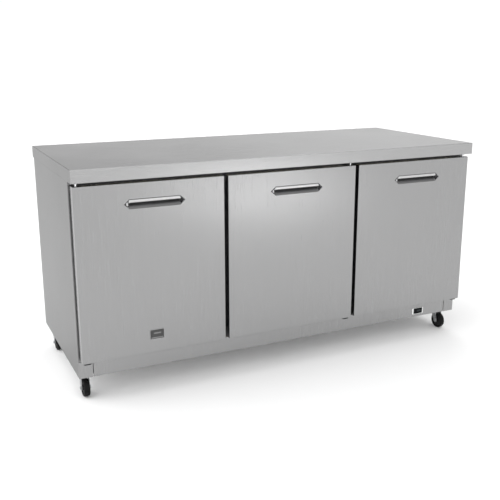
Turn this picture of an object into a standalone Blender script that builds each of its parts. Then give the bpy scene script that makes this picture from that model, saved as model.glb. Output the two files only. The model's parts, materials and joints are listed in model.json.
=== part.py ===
"""Three-door worktop reach-in refrigerator on four swivel casters.

Metres, +Z up. The doors face -Y, +X is to the right of somebody facing them, and the origin
lies on the floor under the middle of the worktop. Every piece is one closed body.
"""

import math

import bmesh
import bpy
from mathutils import Euler, Matrix, Vector

# Driving dimensions
WIDTH = 1.829                 # worktop, left to right
DEPTH = 0.762                 # worktop, front to back
HEIGHT = 0.926                # floor to worktop surface
WORKTOP_H = 0.0506            # height of the worktop's edge
DOOR_W = 0.594
DOOR_GAP = 0.016              # between neighbouring doors
DOOR_Z0 = 0.177
DOOR_Z1 = 0.862
DOOR_T = 0.038
DOOR_SETBACK = 0.016          # door front behind the worktop's front edge
GASKET_T = 0.0077
KICK_Z0 = 0.1025

SHEET = 0.001
GAP = 0.0003                  # between pieces that touch
PAST = 0.010                  # how far a cutter runs past what it cuts

# Derived planes
FRONT = -DEPTH / 2
DOOR_FRONT = FRONT + DOOR_SETBACK
DOOR_BACK = DOOR_FRONT + DOOR_T
FACE = DOOR_BACK + GASKET_T + GAP          # front face of the cabinet
REAR = 0.364
SIDE_X = WIDTH / 2 - 0.0017                # outer face of a side panel
FRONT_FLANGE = 0.012                       # a side panel's turned edge on the cabinet's face
REAR_FLANGE = 0.015
BACK_X = SIDE_X - REAR_FLANGE - 0.0008     # the rear covers fit between the side panels' edges
WORKTOP_Z0 = HEIGHT - WORKTOP_H
WORKTOP_SHEET = 0.0012
WORKTOP_LIP = 0.012                        # turned in along the lower edge
WORKTOP_ROUND = 0.002
PITCH = DOOR_W + DOOR_GAP
DOORS_X = {"left": -PITCH, "middle": 0.0, "right": PITCH}
HINGE_SIDE = {"left": -1, "middle": 1, "right": 1}

# Insulated body, seen from the side as (y, z) outlines
BODY_Z0 = 0.1745
BODY_Z1 = 0.8705
BODY_X = SIDE_X - SHEET - 2 * GAP
BODY_Y0 = FACE + SHEET + GAP
BODY_Y1 = REAR - 0.0015
STEP_Y = 0.1035               # front wall of the machine space
STEP_Z = 0.3655               # roof of the machine space
FLOOR_T = 0.0350
REAR_T = 0.047
CAVITY_X = 0.8665
CAVITY_Z0 = BODY_Z0 + FLOOR_T
CAVITY_Z1 = 0.8305
CAVITY_Y1 = BODY_Y1 - REAR_T
CAVITY_STEP_Y = STEP_Y - 0.045
CAVITY_STEP_Z = STEP_Z + 0.045
DECK_X = 0.895                # the board under the worktop
DECK_Y0 = -0.288
DECK_Y1 = 0.360

# Door openings of the cabinet's face
OPEN_X = 0.865
OPEN_Z0 = 0.211
OPEN_Z1 = 0.829
MULLION_W = 0.085
MULLION_T = 0.040
MULLION_X = PITCH / 2
MULLION_EDGE = 0.003

# Door parts
GASKET_INSET = 0.0195
GASKET_W = 0.014
PIVOT_INSET = 0.018           # hinge pin from the door's edge
PIVOT_Y = DOOR_FRONT + DOOR_T / 2
PIN_R = 0.0038
PIN_REACH = 0.0120            # of a pin into its door
BRACKET_T = 0.0030
BRACKET_BACK = 0.0200         # bracket from its pin towards the door's middle
BRACKET_SIDE = 0.0105         # and towards the door's edge
DOOR_EDGE = 0.0014
BADGE_X, BADGE_Z = -0.608, 0.2535
BADGE_W, BADGE_H = 0.061, 0.043
PLATE_PROUD = 0.0013          # how far a plate on a door stands out

# Recessed pulls
HANDLE_SHIFT = 0.012          # pull to the right of the door's middle
HANDLE_Z = 0.7815
HANDLE_HALF = 0.1205          # tip to middle
HANDLE_SHOULDER = 0.1015
HANDLE_H = 0.0350
HANDLE_DEPTH = 0.0180
HANDLE_LIP_T = 0.0075
HANDLE_FLANGE = 0.0025        # width of the rim that lies on the door
HANDLE_WALL = 0.0015
POCKET_HALF = 0.113
POCKET_SHOULDER = 0.099
MOUTH_H = 0.0145              # below the pull's middle
POCKET_H = 0.0135             # above and below it, behind the lip

# Casters
WHEEL_R = 0.037
WHEEL_W = 0.025
WHEEL_STEPS = 28
AXLE_R = 0.004
AXLE_Z = WHEEL_R * math.cos(math.pi / WHEEL_STEPS)   # a flat of the wheel is on the floor
CASTER_TRAIL = 0.022
CASTER_X = 0.879
CASTER_Y = {"front": -0.239, "rear": 0.291}
CASTER_SIDE = {"left": -1, "right": 1}
BASE_Z0 = 0.1040
BASE_SHEET = 0.0016
BASE_LIP = 0.0120
PAD_T = 0.0030
PAD_X, PAD_Y = 0.063, 0.095
BOSS_R = 0.021
BOSS_Z0 = 0.0965
CROWN_Z1 = BOSS_Z0 - GAP
CROWN_Z0 = 0.0905
CROWN_R = 0.027
LEG_Z1 = 0.0925
LEG_FRONT, LEG_REAR = 0.021, 0.014
LEG_FOOT_R = 0.011
LEG_IN, LEG_T = 0.0150, 0.0025
NUT_R = 0.0068
NUT_FROM, NUT_TO = 0.0178, 0.0213

# Kick panel, corner posts and the controller between them
KICK_Y = FACE - 0.0013
KICK_Z1 = 0.1695
KICK_X = 0.8568
KICK_FOOT, KICK_TOP = 0.0150, 0.0100
POST_X = 0.8583
PANEL_X = 0.7025
PANEL_Z = 0.1310
PANEL_W = 0.074
PANEL_H = 0.030
PANEL_PROUD = 0.0030
PANEL_BODY_W, PANEL_BODY_H, PANEL_BODY_D = 0.070, 0.026, 0.045
WINDOW_W, WINDOW_H = 0.0500, 0.0210
WINDOW_BACK = 0.0026

# Shelves
SHELF_Z0, SHELF_Z1 = 0.4130, 0.4190
SHELF_Y0, SHELF_Y1 = -0.270, 0.300
SHELF_RAIL = 0.012
SHELF_SLOTS = 11
SHELVES = {"left": (-0.587, 0.275), "middle": (0.0, 0.300), "right": (0.587, 0.275)}   # centre, half width

# Rear covers
GRILLE_Z0, GRILLE_Z1 = 0.1080, 0.3695
BACK_Z0, BACK_Z1 = 0.3715, 0.8740
LOUVRE_X = (-0.55, 0.40)
LOUVRE_HALF = 0.20
LOUVRE_Z0, LOUVRE_H = 0.140, 0.010
LOUVRE_PITCH, LOUVRES = 0.022, 9
INLET_X, INLET_Z = 0.760, 0.230
INLET_W, INLET_H = 0.049, 0.029
INLET_DEPTH = 0.028
INLET_FLANGE = 0.0075
INLET_SOCKET_W, INLET_SOCKET_H = 0.036, 0.020

# Machine space
MACHINE_Z0 = BASE_Z0 + BASE_SHEET + GAP + 0.0002     # what stands on the base pan
CONDENSER_X = 0.37
CONDENSER_Z = 0.235
CONDENSER_HALF = 0.12
CONDENSER_Y0, CONDENSER_Y1, CONDENSER_Z1 = 0.305, 0.350, 0.345
CONDENSER_FAN_Y, CONDENSER_FAN_R = 0.275, 0.088
COMPRESSOR_X, COMPRESSOR_Y = 0.66, 0.235
DRAIN_LOW = (-0.05, 0.16)
DRAIN_HIGH = (0.20, 0.34)
DRAIN_H = 0.050

# Evaporator
EVAPORATOR_LOW = Vector((-0.26, 0.205, 0.60))
EVAPORATOR_HIGH = Vector((0.26, CAVITY_Y1 - 0.0020, 0.80))
EVAPORATOR_Z = 0.70
EVAPORATOR_FAN_Y, EVAPORATOR_FAN_R = 0.228, 0.060
FAN_WINDOW_R = 0.068
FAN_BLADES = 5
BLADE_PITCH = math.radians(24)
BLADE_T = 0.0016

MATERIALS = {
    # name: (colour, roughness, metallic)
    "stainless": ((0.62, 0.62, 0.63), 0.34, 1.0),
    "galvanised": ((0.50, 0.52, 0.54), 0.45, 1.0),
    "aluminium": ((0.72, 0.73, 0.74), 0.38, 1.0),
    "chrome": ((0.80, 0.80, 0.82), 0.12, 1.0),
    "foam": ((0.86, 0.80, 0.58), 0.90, 0.0),
    "dark_plastic": ((0.025, 0.025, 0.028), 0.45, 0.0),
    "light_plastic": ((0.86, 0.87, 0.86), 0.40, 0.0),
    "display": ((0.015, 0.025, 0.032), 0.15, 0.0),
    "gasket_rubber": ((0.045, 0.045, 0.048), 0.60, 0.0),
    "wheel_rubber": ((0.018, 0.018, 0.020), 0.60, 0.0),
    "black_enamel": ((0.020, 0.020, 0.022), 0.35, 0.0),
    "wire": ((0.78, 0.79, 0.80), 0.25, 1.0),
}


# ---------------------------------------------------------------- scene helpers
def clear_scene():
    for obj in list(bpy.data.objects):
        bpy.data.objects.remove(obj, do_unlink=True)


def new_collection(name):
    group = bpy.data.collections.new(name)
    bpy.context.scene.collection.children.link(group)
    return group


def new_material(name, colour, roughness, metallic):
    mat = bpy.data.materials.new(name)
    mat.use_nodes = True
    shader = mat.node_tree.nodes["Principled BSDF"]
    shader.inputs["Base Color"].default_value = (*colour, 1.0)
    shader.inputs["Roughness"].default_value = roughness
    shader.inputs["Metallic"].default_value = metallic
    mat.diffuse_color = (*colour, 1.0)
    return mat


clear_scene()
PARTS = new_collection("reach_in_refrigerator")
CUTTERS = new_collection("cutters")
MATS = {name: new_material(name, *look) for name, look in MATERIALS.items()}


def put(name, mesh, material=None, at=(0, 0, 0)):
    """A part whose mesh is given in world space, with its origin moved to `at`."""
    mesh.transform(Matrix.Translation(-Vector(at)))
    obj = bpy.data.objects.new(name, mesh)
    obj.location = at
    if material is None:
        CUTTERS.objects.link(obj)
        obj.hide_render = True
        obj.display_type = "WIRE"
    else:
        PARTS.objects.link(obj)
        mesh.materials.append(MATS[material])
    return obj


def mesh_of(bm):
    mesh = bpy.data.meshes.new("shape")
    bm.to_mesh(mesh)
    bm.free()
    return mesh


def smooth(obj, degrees=30):
    obj.data.shade_smooth()
    obj.data.set_sharp_from_angle(angle=math.radians(degrees))


def hang_on(empty, *objects):
    for obj in objects:
        obj.parent = empty
        obj.location -= empty.location


def pivot(name, at):
    empty = bpy.data.objects.new(name, None)
    empty.empty_display_size = 0.05
    empty.location = at
    PARTS.objects.link(empty)
    return empty


# ---------------------------------------------------------------- shapes
def cube_bm(low, high):
    low, high = Vector(low), Vector(high)
    bm = bmesh.new()
    size = Matrix.Diagonal((*(high - low), 1.0))
    bmesh.ops.create_cube(bm, size=1.0, matrix=Matrix.Translation((low + high) / 2) @ size)
    return bm


def box(low, high):
    return mesh_of(cube_bm(low, high))


def rod(start, end, radius, sides=16, end_radius=None):
    start, end = Vector(start), Vector(end)
    axis = end - start
    turn = axis.to_track_quat("Z", "Y").to_matrix().to_4x4()
    bm = bmesh.new()
    bmesh.ops.create_cone(
        bm, cap_ends=True, segments=sides, radius1=radius,
        radius2=radius if end_radius is None else end_radius, depth=axis.length,
        matrix=Matrix.Translation((start + end) / 2) @ turn)
    return mesh_of(bm)


# Matrices that lay a flat outline's (u, v) on two world axes and its thickness on the third
LAY = {
    "x": Matrix(((0, 0, 1, 0), (1, 0, 0, 0), (0, 1, 0, 0), (0, 0, 0, 1))),     # u = y, v = z
    "y": Matrix(((1, 0, 0, 0), (0, 0, -1, 0), (0, 1, 0, 0), (0, 0, 0, 1))),    # u = x, v = z
}


def outline(points, axis, low, high):
    """A flat outline filled and given thickness from low to high along an axis."""
    curve = bpy.data.curves.new("outline", "CURVE")
    curve.dimensions = "2D"
    curve.fill_mode = "BOTH"
    curve.extrude = (high - low) / 2
    spline = curve.splines.new("POLY")
    spline.points.add(len(points) - 1)
    for point, (u, v) in zip(spline.points, points):
        point.co = (u, v, 0, 1)
    spline.use_cyclic_u = True
    guide = bpy.data.objects.new("outline", curve)
    CUTTERS.objects.link(guide)
    graph = bpy.context.evaluated_depsgraph_get()
    mesh = bpy.data.meshes.new_from_object(guide.evaluated_get(graph))
    bpy.data.objects.remove(guide, do_unlink=True)
    bpy.data.curves.remove(curve)
    bm = bmesh.new()
    bm.from_mesh(mesh)
    bmesh.ops.remove_doubles(bm, verts=bm.verts, dist=1e-5)
    shift = Vector((0, 0, 0))
    shift["xyz".index(axis)] = (low + high) / 2
    bm.transform(Matrix.Translation(shift) @ LAY[axis])
    bmesh.ops.recalc_face_normals(bm, faces=bm.faces)
    bm.to_mesh(mesh)
    bm.free()
    return mesh


def open_box(low, high, open_side, bevel=0.0):
    """The walls of a box without the side that faces along open_side, rounded if asked."""
    bm = cube_bm(low, high)
    away = Vector(open_side)
    gone = [face for face in bm.faces if face.normal.dot(away) > 0.9]
    rim = {edge for face in gone for edge in face.edges}
    bmesh.ops.delete(bm, geom=gone, context="FACES_ONLY")
    if bevel:
        rounded = [edge for edge in bm.edges if edge not in rim]
        bmesh.ops.bevel(bm, geom=rounded, offset=bevel, segments=2, profile=0.5, affect="EDGES")
    bmesh.ops.recalc_face_normals(bm, faces=bm.faces)
    return bm


def folded(points, axis, low, high):
    """An open strip: a folded line in a plane, drawn out from low to high along the axis."""
    bm = bmesh.new()
    shift = Vector((0, 0, 0))
    if axis == "z":
        verts = [bm.verts.new((u, v, low)) for u, v in points]
        shift.z = high - low
    else:
        verts = [bm.verts.new((low, u, v)) for u, v in points]
        shift.x = high - low
    edges = [bm.edges.new(pair) for pair in zip(verts, verts[1:])]
    made = bmesh.ops.extrude_edge_only(bm, edges=edges)["geom"]
    bmesh.ops.translate(bm, vec=shift, verts=[v for v in made if isinstance(v, bmesh.types.BMVert)])
    return mesh_of(bm)


def turned(name, profile, steps, material, at, rotation=(0, 0, 0)):
    """A profile of (radius, height) turned about local Z, then laid down by a rotation."""
    mesh = bpy.data.meshes.new(name)
    closed = profile[0][0] > 0
    count = len(profile)
    links = [(i, (i + 1) % count) for i in range(count if closed else count - 1)]
    mesh.from_pydata([(radius, 0, height) for radius, height in profile], links, [])
    obj = bpy.data.objects.new(name, mesh)
    PARTS.objects.link(obj)
    mesh.materials.append(MATS[material])
    screw = obj.modifiers.new("Turn", "SCREW")
    screw.axis = "Z"
    screw.steps = screw.render_steps = steps
    screw.use_merge_vertices = True
    screw.merge_threshold = 0.0001
    screw.use_smooth_shade = True
    obj.rotation_euler = rotation
    obj.location = at
    return obj


# ---------------------------------------------------------------- modifiers
def thicken(obj, thickness, offset=-1.0):
    mod = obj.modifiers.new("Sheet", "SOLIDIFY")
    mod.thickness = thickness
    mod.offset = offset
    mod.use_even_offset = True
    return obj


def soften(obj, width, segments=1):
    mod = obj.modifiers.new("Edges", "BEVEL")
    mod.width = width
    mod.segments = segments
    mod.limit_method = "ANGLE"
    return obj


def boolean(obj, mesh, operation):
    tool = put(f"{obj.name}_tool_{len(CUTTERS.objects)}", mesh)
    mod = obj.modifiers.new(operation.title(), "BOOLEAN")
    mod.operation = operation
    mod.solver = "EXACT"
    mod.object = tool
    return tool


def cut(obj, mesh):
    return boolean(obj, mesh, "DIFFERENCE")


def add(obj, mesh):
    return boolean(obj, mesh, "UNION")


def repeat(tool, count, step):
    mod = tool.modifiers.new("Row", "ARRAY")
    mod.count = count
    mod.use_relative_offset = False
    mod.use_constant_offset = True
    mod.constant_offset_displace = step


# ---------------------------------------------------------------- cabinet
def make_worktop():
    """A pan of sheet turned down on four sides, with a lip turned in below."""
    low, high = (-WIDTH / 2, FRONT, WORKTOP_Z0), (WIDTH / 2, -FRONT, HEIGHT)
    bm = open_box(low, high, (0, 0, -1), bevel=WORKTOP_ROUND)
    rim = [edge for edge in bm.edges if edge.is_boundary]
    made = bmesh.ops.extrude_edge_only(bm, edges=rim)["geom"]
    for vert in made:
        if isinstance(vert, bmesh.types.BMVert):
            vert.co.x -= math.copysign(WORKTOP_LIP, vert.co.x)
            vert.co.y -= math.copysign(WORKTOP_LIP, vert.co.y)
    bmesh.ops.recalc_face_normals(bm, faces=bm.faces)
    return thicken(put("worktop", mesh_of(bm), "stainless"), WORKTOP_SHEET)


def make_side_panel(side, sign):
    """A sheet that wraps round the cabinet's front and rear corners."""
    x = sign * SIDE_X
    points = [(x - sign * FRONT_FLANGE, FACE), (x, FACE), (x, REAR), (x - sign * REAR_FLANGE, REAR)]
    sheet = folded(points, "z", KICK_Z0, WORKTOP_Z0 - GAP)
    return thicken(put(f"side_panel_{side}", sheet, "stainless"), SHEET, offset=sign)


def make_insulation():
    """The foamed body: a tub open to the front, stepped over the machine space."""
    outer = [(BODY_Y0, BODY_Z0), (STEP_Y, BODY_Z0), (STEP_Y, STEP_Z), (BODY_Y1, STEP_Z),
             (BODY_Y1, BODY_Z1), (BODY_Y0, BODY_Z1)]
    body = put("insulation_body", outline(outer, "x", -BODY_X, BODY_X), "foam")
    deck_top = HEIGHT - WORKTOP_SHEET - 6 * GAP
    add(body, box((-DECK_X, DECK_Y0, BODY_Z1 - PAST), (DECK_X, DECK_Y1, deck_top)))
    cut(body, outline(cavity_outline(BODY_Y0 - PAST), "x", -CAVITY_X, CAVITY_X))
    return body


def cavity_outline(front, inset=0.0):
    return [(front, CAVITY_Z0 + inset), (CAVITY_STEP_Y - inset, CAVITY_Z0 + inset),
            (CAVITY_STEP_Y - inset, CAVITY_STEP_Z + inset), (CAVITY_Y1 - inset, CAVITY_STEP_Z + inset),
            (CAVITY_Y1 - inset, CAVITY_Z1 - inset), (front, CAVITY_Z1 - inset)]


def make_liner():
    """The inside skin, which follows the tub and is open to the front."""
    front = BODY_Y0 + GAP
    bm = bmesh.new()
    bm.from_mesh(outline(cavity_outline(front, GAP), "x", -CAVITY_X + GAP, CAVITY_X - GAP))
    mouth = [face for face in bm.faces if face.normal.y < -0.9 and face.calc_center_median().y < front + GAP]
    bmesh.ops.delete(bm, geom=mouth, context="FACES_ONLY")
    return thicken(put("inner_liner", mesh_of(bm), "aluminium"), SHEET)


def make_front_frame():
    """The sheet face round the door openings, between the side panels' turned edges."""
    side = SIDE_X - FRONT_FLANGE - 0.0008
    frame = put("front_frame", box((-side, FACE, BODY_Z0), (side, FACE + SHEET, BODY_Z1)), "stainless")
    cut(frame, box((-OPEN_X, FACE - PAST, OPEN_Z0), (OPEN_X, FACE + PAST, OPEN_Z1)))
    return frame


def make_mullion(side, x):
    half = MULLION_W / 2
    low = (x - half, FACE, OPEN_Z0 + GAP)
    high = (x + half, FACE + MULLION_T, OPEN_Z1 - GAP)
    return soften(put(f"mullion_{side}", box(low, high), "dark_plastic"), MULLION_EDGE)


def make_back_panel():
    return put("back_panel", box((-BACK_X, REAR - SHEET, BACK_Z0), (BACK_X, REAR, BACK_Z1)), "galvanised")


def make_rear_grille():
    """The louvred cover of the machine space, with a window for the mains inlet."""
    low, high = (-BACK_X, REAR - SHEET, GRILLE_Z0), (BACK_X, REAR, GRILLE_Z1)
    grille = put("rear_grille", box(low, high), "galvanised")
    for x in LOUVRE_X:
        slot = box((x - LOUVRE_HALF, REAR - PAST, LOUVRE_Z0),
                   (x + LOUVRE_HALF, REAR + PAST, LOUVRE_Z0 + LOUVRE_H))
        repeat(cut(grille, slot), LOUVRES, (0, 0, LOUVRE_PITCH))
    half_x, half_z = INLET_W / 2 + 2 * GAP, INLET_H / 2 + 2 * GAP
    cut(grille, box((INLET_X - half_x, REAR - PAST, INLET_Z - half_z),
                    (INLET_X + half_x, REAR + PAST, INLET_Z + half_z)))
    return grille


def make_power_inlet():
    """A flanged mains inlet in the rear cover, with a socket for a loose lead."""
    def block(half_x, half_z, y0, y1):
        return box((INLET_X - half_x, y0, INLET_Z - half_z), (INLET_X + half_x, y1, INLET_Z + half_z))

    half_x, half_z = INLET_W / 2, INLET_H / 2
    inlet = put("power_inlet", block(half_x, half_z, REAR - INLET_DEPTH, REAR + 0.002), "dark_plastic")
    add(inlet, block(half_x + INLET_FLANGE, half_z + INLET_FLANGE, REAR + GAP, REAR + 0.004))
    cut(inlet, block(INLET_SOCKET_W / 2, INLET_SOCKET_H / 2, REAR - 0.018, REAR + PAST))
    return inlet


def make_base_pan():
    """The floor of the machine space, with the four caster plates and swivel bosses below."""
    bm = open_box((-BODY_X, FACE + 0.0025, BASE_Z0), (BODY_X, REAR - 0.002, BASE_Z0 + BASE_LIP), (0, 0, 1))
    pan = thicken(put("base_pan", mesh_of(bm), "galvanised"), BASE_SHEET)
    joined = BASE_Z0 + 0.0005
    for sign in CASTER_SIDE.values():
        for y in CASTER_Y.values():
            x = sign * CASTER_X
            low = (x - PAD_X / 2, y - PAD_Y / 2, BASE_Z0 - PAD_T)
            add(pan, box(low, (x + PAD_X / 2, y + PAD_Y / 2, joined)))
            add(pan, rod((x, y, BOSS_Z0), (x, y, joined - PAD_T), BOSS_R, 24))
    return pan


def make_kick_panel():
    """The plain panel under the doors, turned in at its top and bottom edges."""
    points = [(KICK_Y + KICK_FOOT, KICK_Z0), (KICK_Y, KICK_Z0),
              (KICK_Y, KICK_Z1), (KICK_Y + KICK_TOP, KICK_Z1)]
    panel = put("kick_panel", folded(points, "x", -KICK_X, KICK_X), "stainless")
    thicken(panel, SHEET)
    half_x, half_z = PANEL_BODY_W / 2 + 2 * GAP, PANEL_BODY_H / 2 + 2 * GAP
    cut(panel, box((PANEL_X - half_x, KICK_Y - PAST, PANEL_Z - half_z),
                   (PANEL_X + half_x, KICK_Y + PAST, PANEL_Z + half_z)))
    return panel


def make_corner_post(side, sign):
    low_x, high_x = sorted((sign * SIDE_X, sign * POST_X))
    plate = box((low_x, FACE - 0.0015, KICK_Z0), (high_x, FACE - GAP, KICK_Z1))
    return put(f"corner_post_{side}", plate, "stainless")


def make_controller():
    """A panel thermostat: a light frame with a dark window, clipped into the kick panel."""
    def block(width, height, y0, y1):
        return box((PANEL_X - width / 2, y0, PANEL_Z - height / 2),
                   (PANEL_X + width / 2, y1, PANEL_Z + height / 2))

    front = KICK_Y - PANEL_PROUD
    bezel = put("controller_bezel", block(PANEL_W, PANEL_H, front, KICK_Y - GAP), "light_plastic")
    add(bezel, block(PANEL_BODY_W, PANEL_BODY_H, KICK_Y - 0.0010, KICK_Y + PANEL_BODY_D))
    cut(bezel, block(WINDOW_W + 2 * GAP, WINDOW_H + 2 * GAP, front - PAST, KICK_Y + 0.0010))
    window = block(WINDOW_W, WINDOW_H, KICK_Y - WINDOW_BACK, KICK_Y + 0.0007)
    return bezel, put("controller_display", window, "display")


def make_shelf(section, x, half):
    """A shelf of bars, which rests on the step over the machine space."""
    low, high = Vector((x - half, SHELF_Y0, SHELF_Z0)), Vector((x + half, SHELF_Y1, SHELF_Z1))
    shelf = put(f"shelf_{section}", box(low, high), "wire", at=(x, 0, SHELF_Z0))
    pitch = (2 * half - SHELF_RAIL) / SHELF_SLOTS
    slot = box((low.x + SHELF_RAIL, low.y + SHELF_RAIL, low.z - PAST),
               (low.x + pitch, high.y - SHELF_RAIL, high.z + PAST))
    repeat(cut(shelf, slot), SHELF_SLOTS, (pitch, 0, 0))
    return shelf


# ---------------------------------------------------------------- doors
def hexagon(tip, shoulder, half_height):
    return [(-tip, 0), (-shoulder, -half_height), (shoulder, -half_height),
            (tip, 0), (shoulder, half_height), (-shoulder, half_height)]


def pull_outline(x, grow):
    """The pull's pointed outline, wider all round by grow."""
    points = hexagon(HANDLE_HALF + grow * 1.3, HANDLE_SHOULDER + grow * 0.5, HANDLE_H / 2 + grow)
    return [(x + u, HANDLE_Z + v) for u, v in points]


def make_handle(side, x):
    """A recessed pull: a pointed tray with a finger pocket that runs up behind a lip."""
    back = DOOR_FRONT + HANDLE_DEPTH
    tray = outline(pull_outline(x, -HANDLE_FLANGE), "y", DOOR_FRONT - GAP, back)
    pull = put(f"handle_{side}", tray, "chrome")
    add(pull, outline(pull_outline(x, 0), "y", DOOR_FRONT - PLATE_PROUD, DOOR_FRONT - GAP))
    mouth = [(x + u, HANDLE_Z + v) for u, v in hexagon(POCKET_HALF, POCKET_SHOULDER, MOUTH_H)[:4]]
    cut(pull, outline(mouth, "y", DOOR_FRONT - PAST, DOOR_FRONT + HANDLE_LIP_T + 0.001))
    pocket = [(x + u, HANDLE_Z + v) for u, v in hexagon(POCKET_HALF, POCKET_SHOULDER, POCKET_H)]
    cut(pull, outline(pocket, "y", DOOR_FRONT + HANDLE_LIP_T, back - HANDLE_WALL))
    return pull


def make_door(side):
    x, sign = DOORS_X[side], HINGE_SIDE[side]
    x0, x1 = x - DOOR_W / 2, x + DOOR_W / 2
    pin_x = x + sign * (DOOR_W / 2 - PIVOT_INSET)
    empty = pivot(f"door_{side}_pivot", (pin_x, PIVOT_Y, DOOR_Z0))

    bm = open_box((x0, DOOR_FRONT, DOOR_Z0), (x1, DOOR_BACK, DOOR_Z1), (0, 1, 0), bevel=DOOR_EDGE)
    skin = thicken(put(f"door_skin_{side}", mesh_of(bm), "stainless", at=empty.location), SHEET)
    inset = SHEET + GAP
    low = (x0 + inset, DOOR_FRONT + inset, DOOR_Z0 + inset)
    high = (x1 - inset, DOOR_BACK - GAP, DOOR_Z1 - inset)
    core = put(f"door_core_{side}", box(low, high), "aluminium", at=empty.location)
    recess = pull_outline(x + HANDLE_SHIFT, GAP - HANDLE_FLANGE)
    pin_ends = ((DOOR_Z0 - PAST, DOOR_Z0 + PIN_REACH + 0.001), (DOOR_Z1 - PIN_REACH - 0.001, DOOR_Z1 + PAST))
    for piece in (skin, core):
        cut(piece, outline(recess, "y", DOOR_FRONT - PAST, DOOR_FRONT + HANDLE_DEPTH + GAP))
        for z0, z1 in pin_ends:
            cut(piece, rod((pin_x, PIVOT_Y, z0), (pin_x, PIVOT_Y, z1), PIN_R + GAP, 20))

    edge0 = Vector((x0 + GASKET_INSET, DOOR_BACK, DOOR_Z0 + GASKET_INSET))
    edge1 = Vector((x1 - GASKET_INSET, DOOR_BACK + GASKET_T, DOOR_Z1 - GASKET_INSET))
    wide = Vector((GASKET_W, -PAST, GASKET_W))
    gasket = put(f"door_gasket_{side}", box(edge0, edge1), "gasket_rubber", at=empty.location)
    cut(gasket, box(edge0 + wide, edge1 - wide))

    hang_on(empty, skin, core, gasket, make_handle(side, x + HANDLE_SHIFT))
    if side == "left":
        hang_on(empty, make_badge())
    make_hinge_brackets(side, sign, pin_x)


def make_badge():
    """A blank plate low on the left door."""
    low = (BADGE_X - BADGE_W / 2, DOOR_FRONT - PLATE_PROUD, BADGE_Z - BADGE_H / 2)
    high = (BADGE_X + BADGE_W / 2, DOOR_FRONT - GAP, BADGE_Z + BADGE_H / 2)
    return put("badge_plate", box(low, high), "chrome")


def make_hinge_brackets(side, sign, pin_x):
    """The plates that carry a door, each with its pin, above and below it."""
    top_z0 = BODY_Z1 + 0.0007
    bottom_z1 = BODY_Z0 - 0.0010
    plates = {"top": (top_z0, top_z0 + BRACKET_T, DOOR_Z1 - PIN_REACH, top_z0 + 0.001),
              "bottom": (bottom_z1 - BRACKET_T, bottom_z1, bottom_z1 - 0.001, DOOR_Z0 + PIN_REACH)}
    for place, (z0, z1, pin_z0, pin_z1) in plates.items():
        x0, x1 = sorted((pin_x + sign * BRACKET_SIDE, pin_x - sign * BRACKET_BACK))
        plate = box((x0, PIVOT_Y - 0.012, z0), (x1, FACE + 0.025, z1))
        bracket = put(f"hinge_{place}_{side}", plate, "wire", at=(pin_x, PIVOT_Y, z0))
        soften(bracket, 0.0005)
        add(bracket, rod((pin_x, PIVOT_Y, pin_z0), (pin_x, PIVOT_Y, pin_z1), PIN_R, 20))


# ---------------------------------------------------------------- casters
def leg_outline(y):
    """A fork leg from the crown down round the axle."""
    axle_y, steps = y - CASTER_TRAIL, 8
    arc = [math.pi * (1 + i / steps) for i in range(steps + 1)]
    foot = [(axle_y + LEG_FOOT_R * math.cos(a), AXLE_Z + LEG_FOOT_R * math.sin(a)) for a in arc]
    return [(y - LEG_FRONT, LEG_Z1), *foot, (y + LEG_REAR, LEG_Z1)]


def wheel_profile():
    """(radius, half width) points of tread, web and hub, both sides, round the axle's bore."""
    half, web, hub_half = WHEEL_W / 2, 0.009, 0.0142
    near = [(AXLE_R + GAP, hub_half), (0.0100, hub_half), (0.0110, web), (0.0265, web),
            (0.0280, half - 0.0005), (WHEEL_R - 0.0025, half), (WHEEL_R, half - 0.0035)]
    return near + [(radius, -height) for radius, height in reversed(near)]


def make_caster(end, side):
    x, y = CASTER_SIDE[side] * CASTER_X, CASTER_Y[end]
    name = f"{end}_{side}"
    swivel = pivot(f"caster_swivel_{name}", (x, y, CROWN_Z1))
    hub = Vector((x, y - CASTER_TRAIL, AXLE_Z))

    def across(reach):
        return Vector((reach, 0, 0))

    fork = put(f"caster_fork_{name}", rod((x, y, CROWN_Z0), (x, y, CROWN_Z1), CROWN_R, 24), "wire",
               at=swivel.location)
    for low in (-LEG_IN - LEG_T, LEG_IN):
        add(fork, outline(leg_outline(y), "x", x + low, x + low + LEG_T))
    cut(fork, rod(hub - across(CROWN_R), hub + across(CROWN_R), AXLE_R + GAP, 16))

    shaft = rod(hub - across(NUT_FROM + 0.001), hub + across(NUT_FROM + 0.001), AXLE_R, 16)
    axle = put(f"caster_axle_{name}", shaft, "wire", at=hub)
    for sign in (-1, 1):
        add(axle, rod(hub + across(sign * NUT_FROM), hub + across(sign * NUT_TO), NUT_R, 6))

    wheel = turned(f"caster_wheel_{name}", wheel_profile(), WHEEL_STEPS, "wheel_rubber", hub)
    wheel.rotation_euler = Euler((0, math.pi / 2, 0))
    wheel.data.transform(Matrix.Rotation(math.pi / WHEEL_STEPS, 4, "Z"))
    hang_on(swivel, fork, axle, wheel)


# ---------------------------------------------------------------- cold and machine parts
def make_rotor(name, centre, radius, hub_r, thickness):
    """A fan: a hub with pitched blades about the Y axis."""
    along = Vector((0, thickness / 2, 0))
    rotor = put(name, rod(centre - along, centre + along, hub_r, 20), "dark_plastic", at=centre)
    root = hub_r * 0.7
    size = Matrix.Diagonal((radius * 0.62, BLADE_T, radius - root, 1))
    out = Matrix.Translation((0, 0, (root + radius) / 2))
    pitch = Matrix.Rotation(BLADE_PITCH, 4, "Z")
    for blade in range(FAN_BLADES):
        spin = Matrix.Rotation(math.tau * blade / FAN_BLADES, 4, "Y")
        bm = bmesh.new()
        bmesh.ops.create_cube(bm, size=1.0, matrix=Matrix.Translation(centre) @ spin @ out @ pitch @ size)
        add(rotor, mesh_of(bm))
    return rotor


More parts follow.
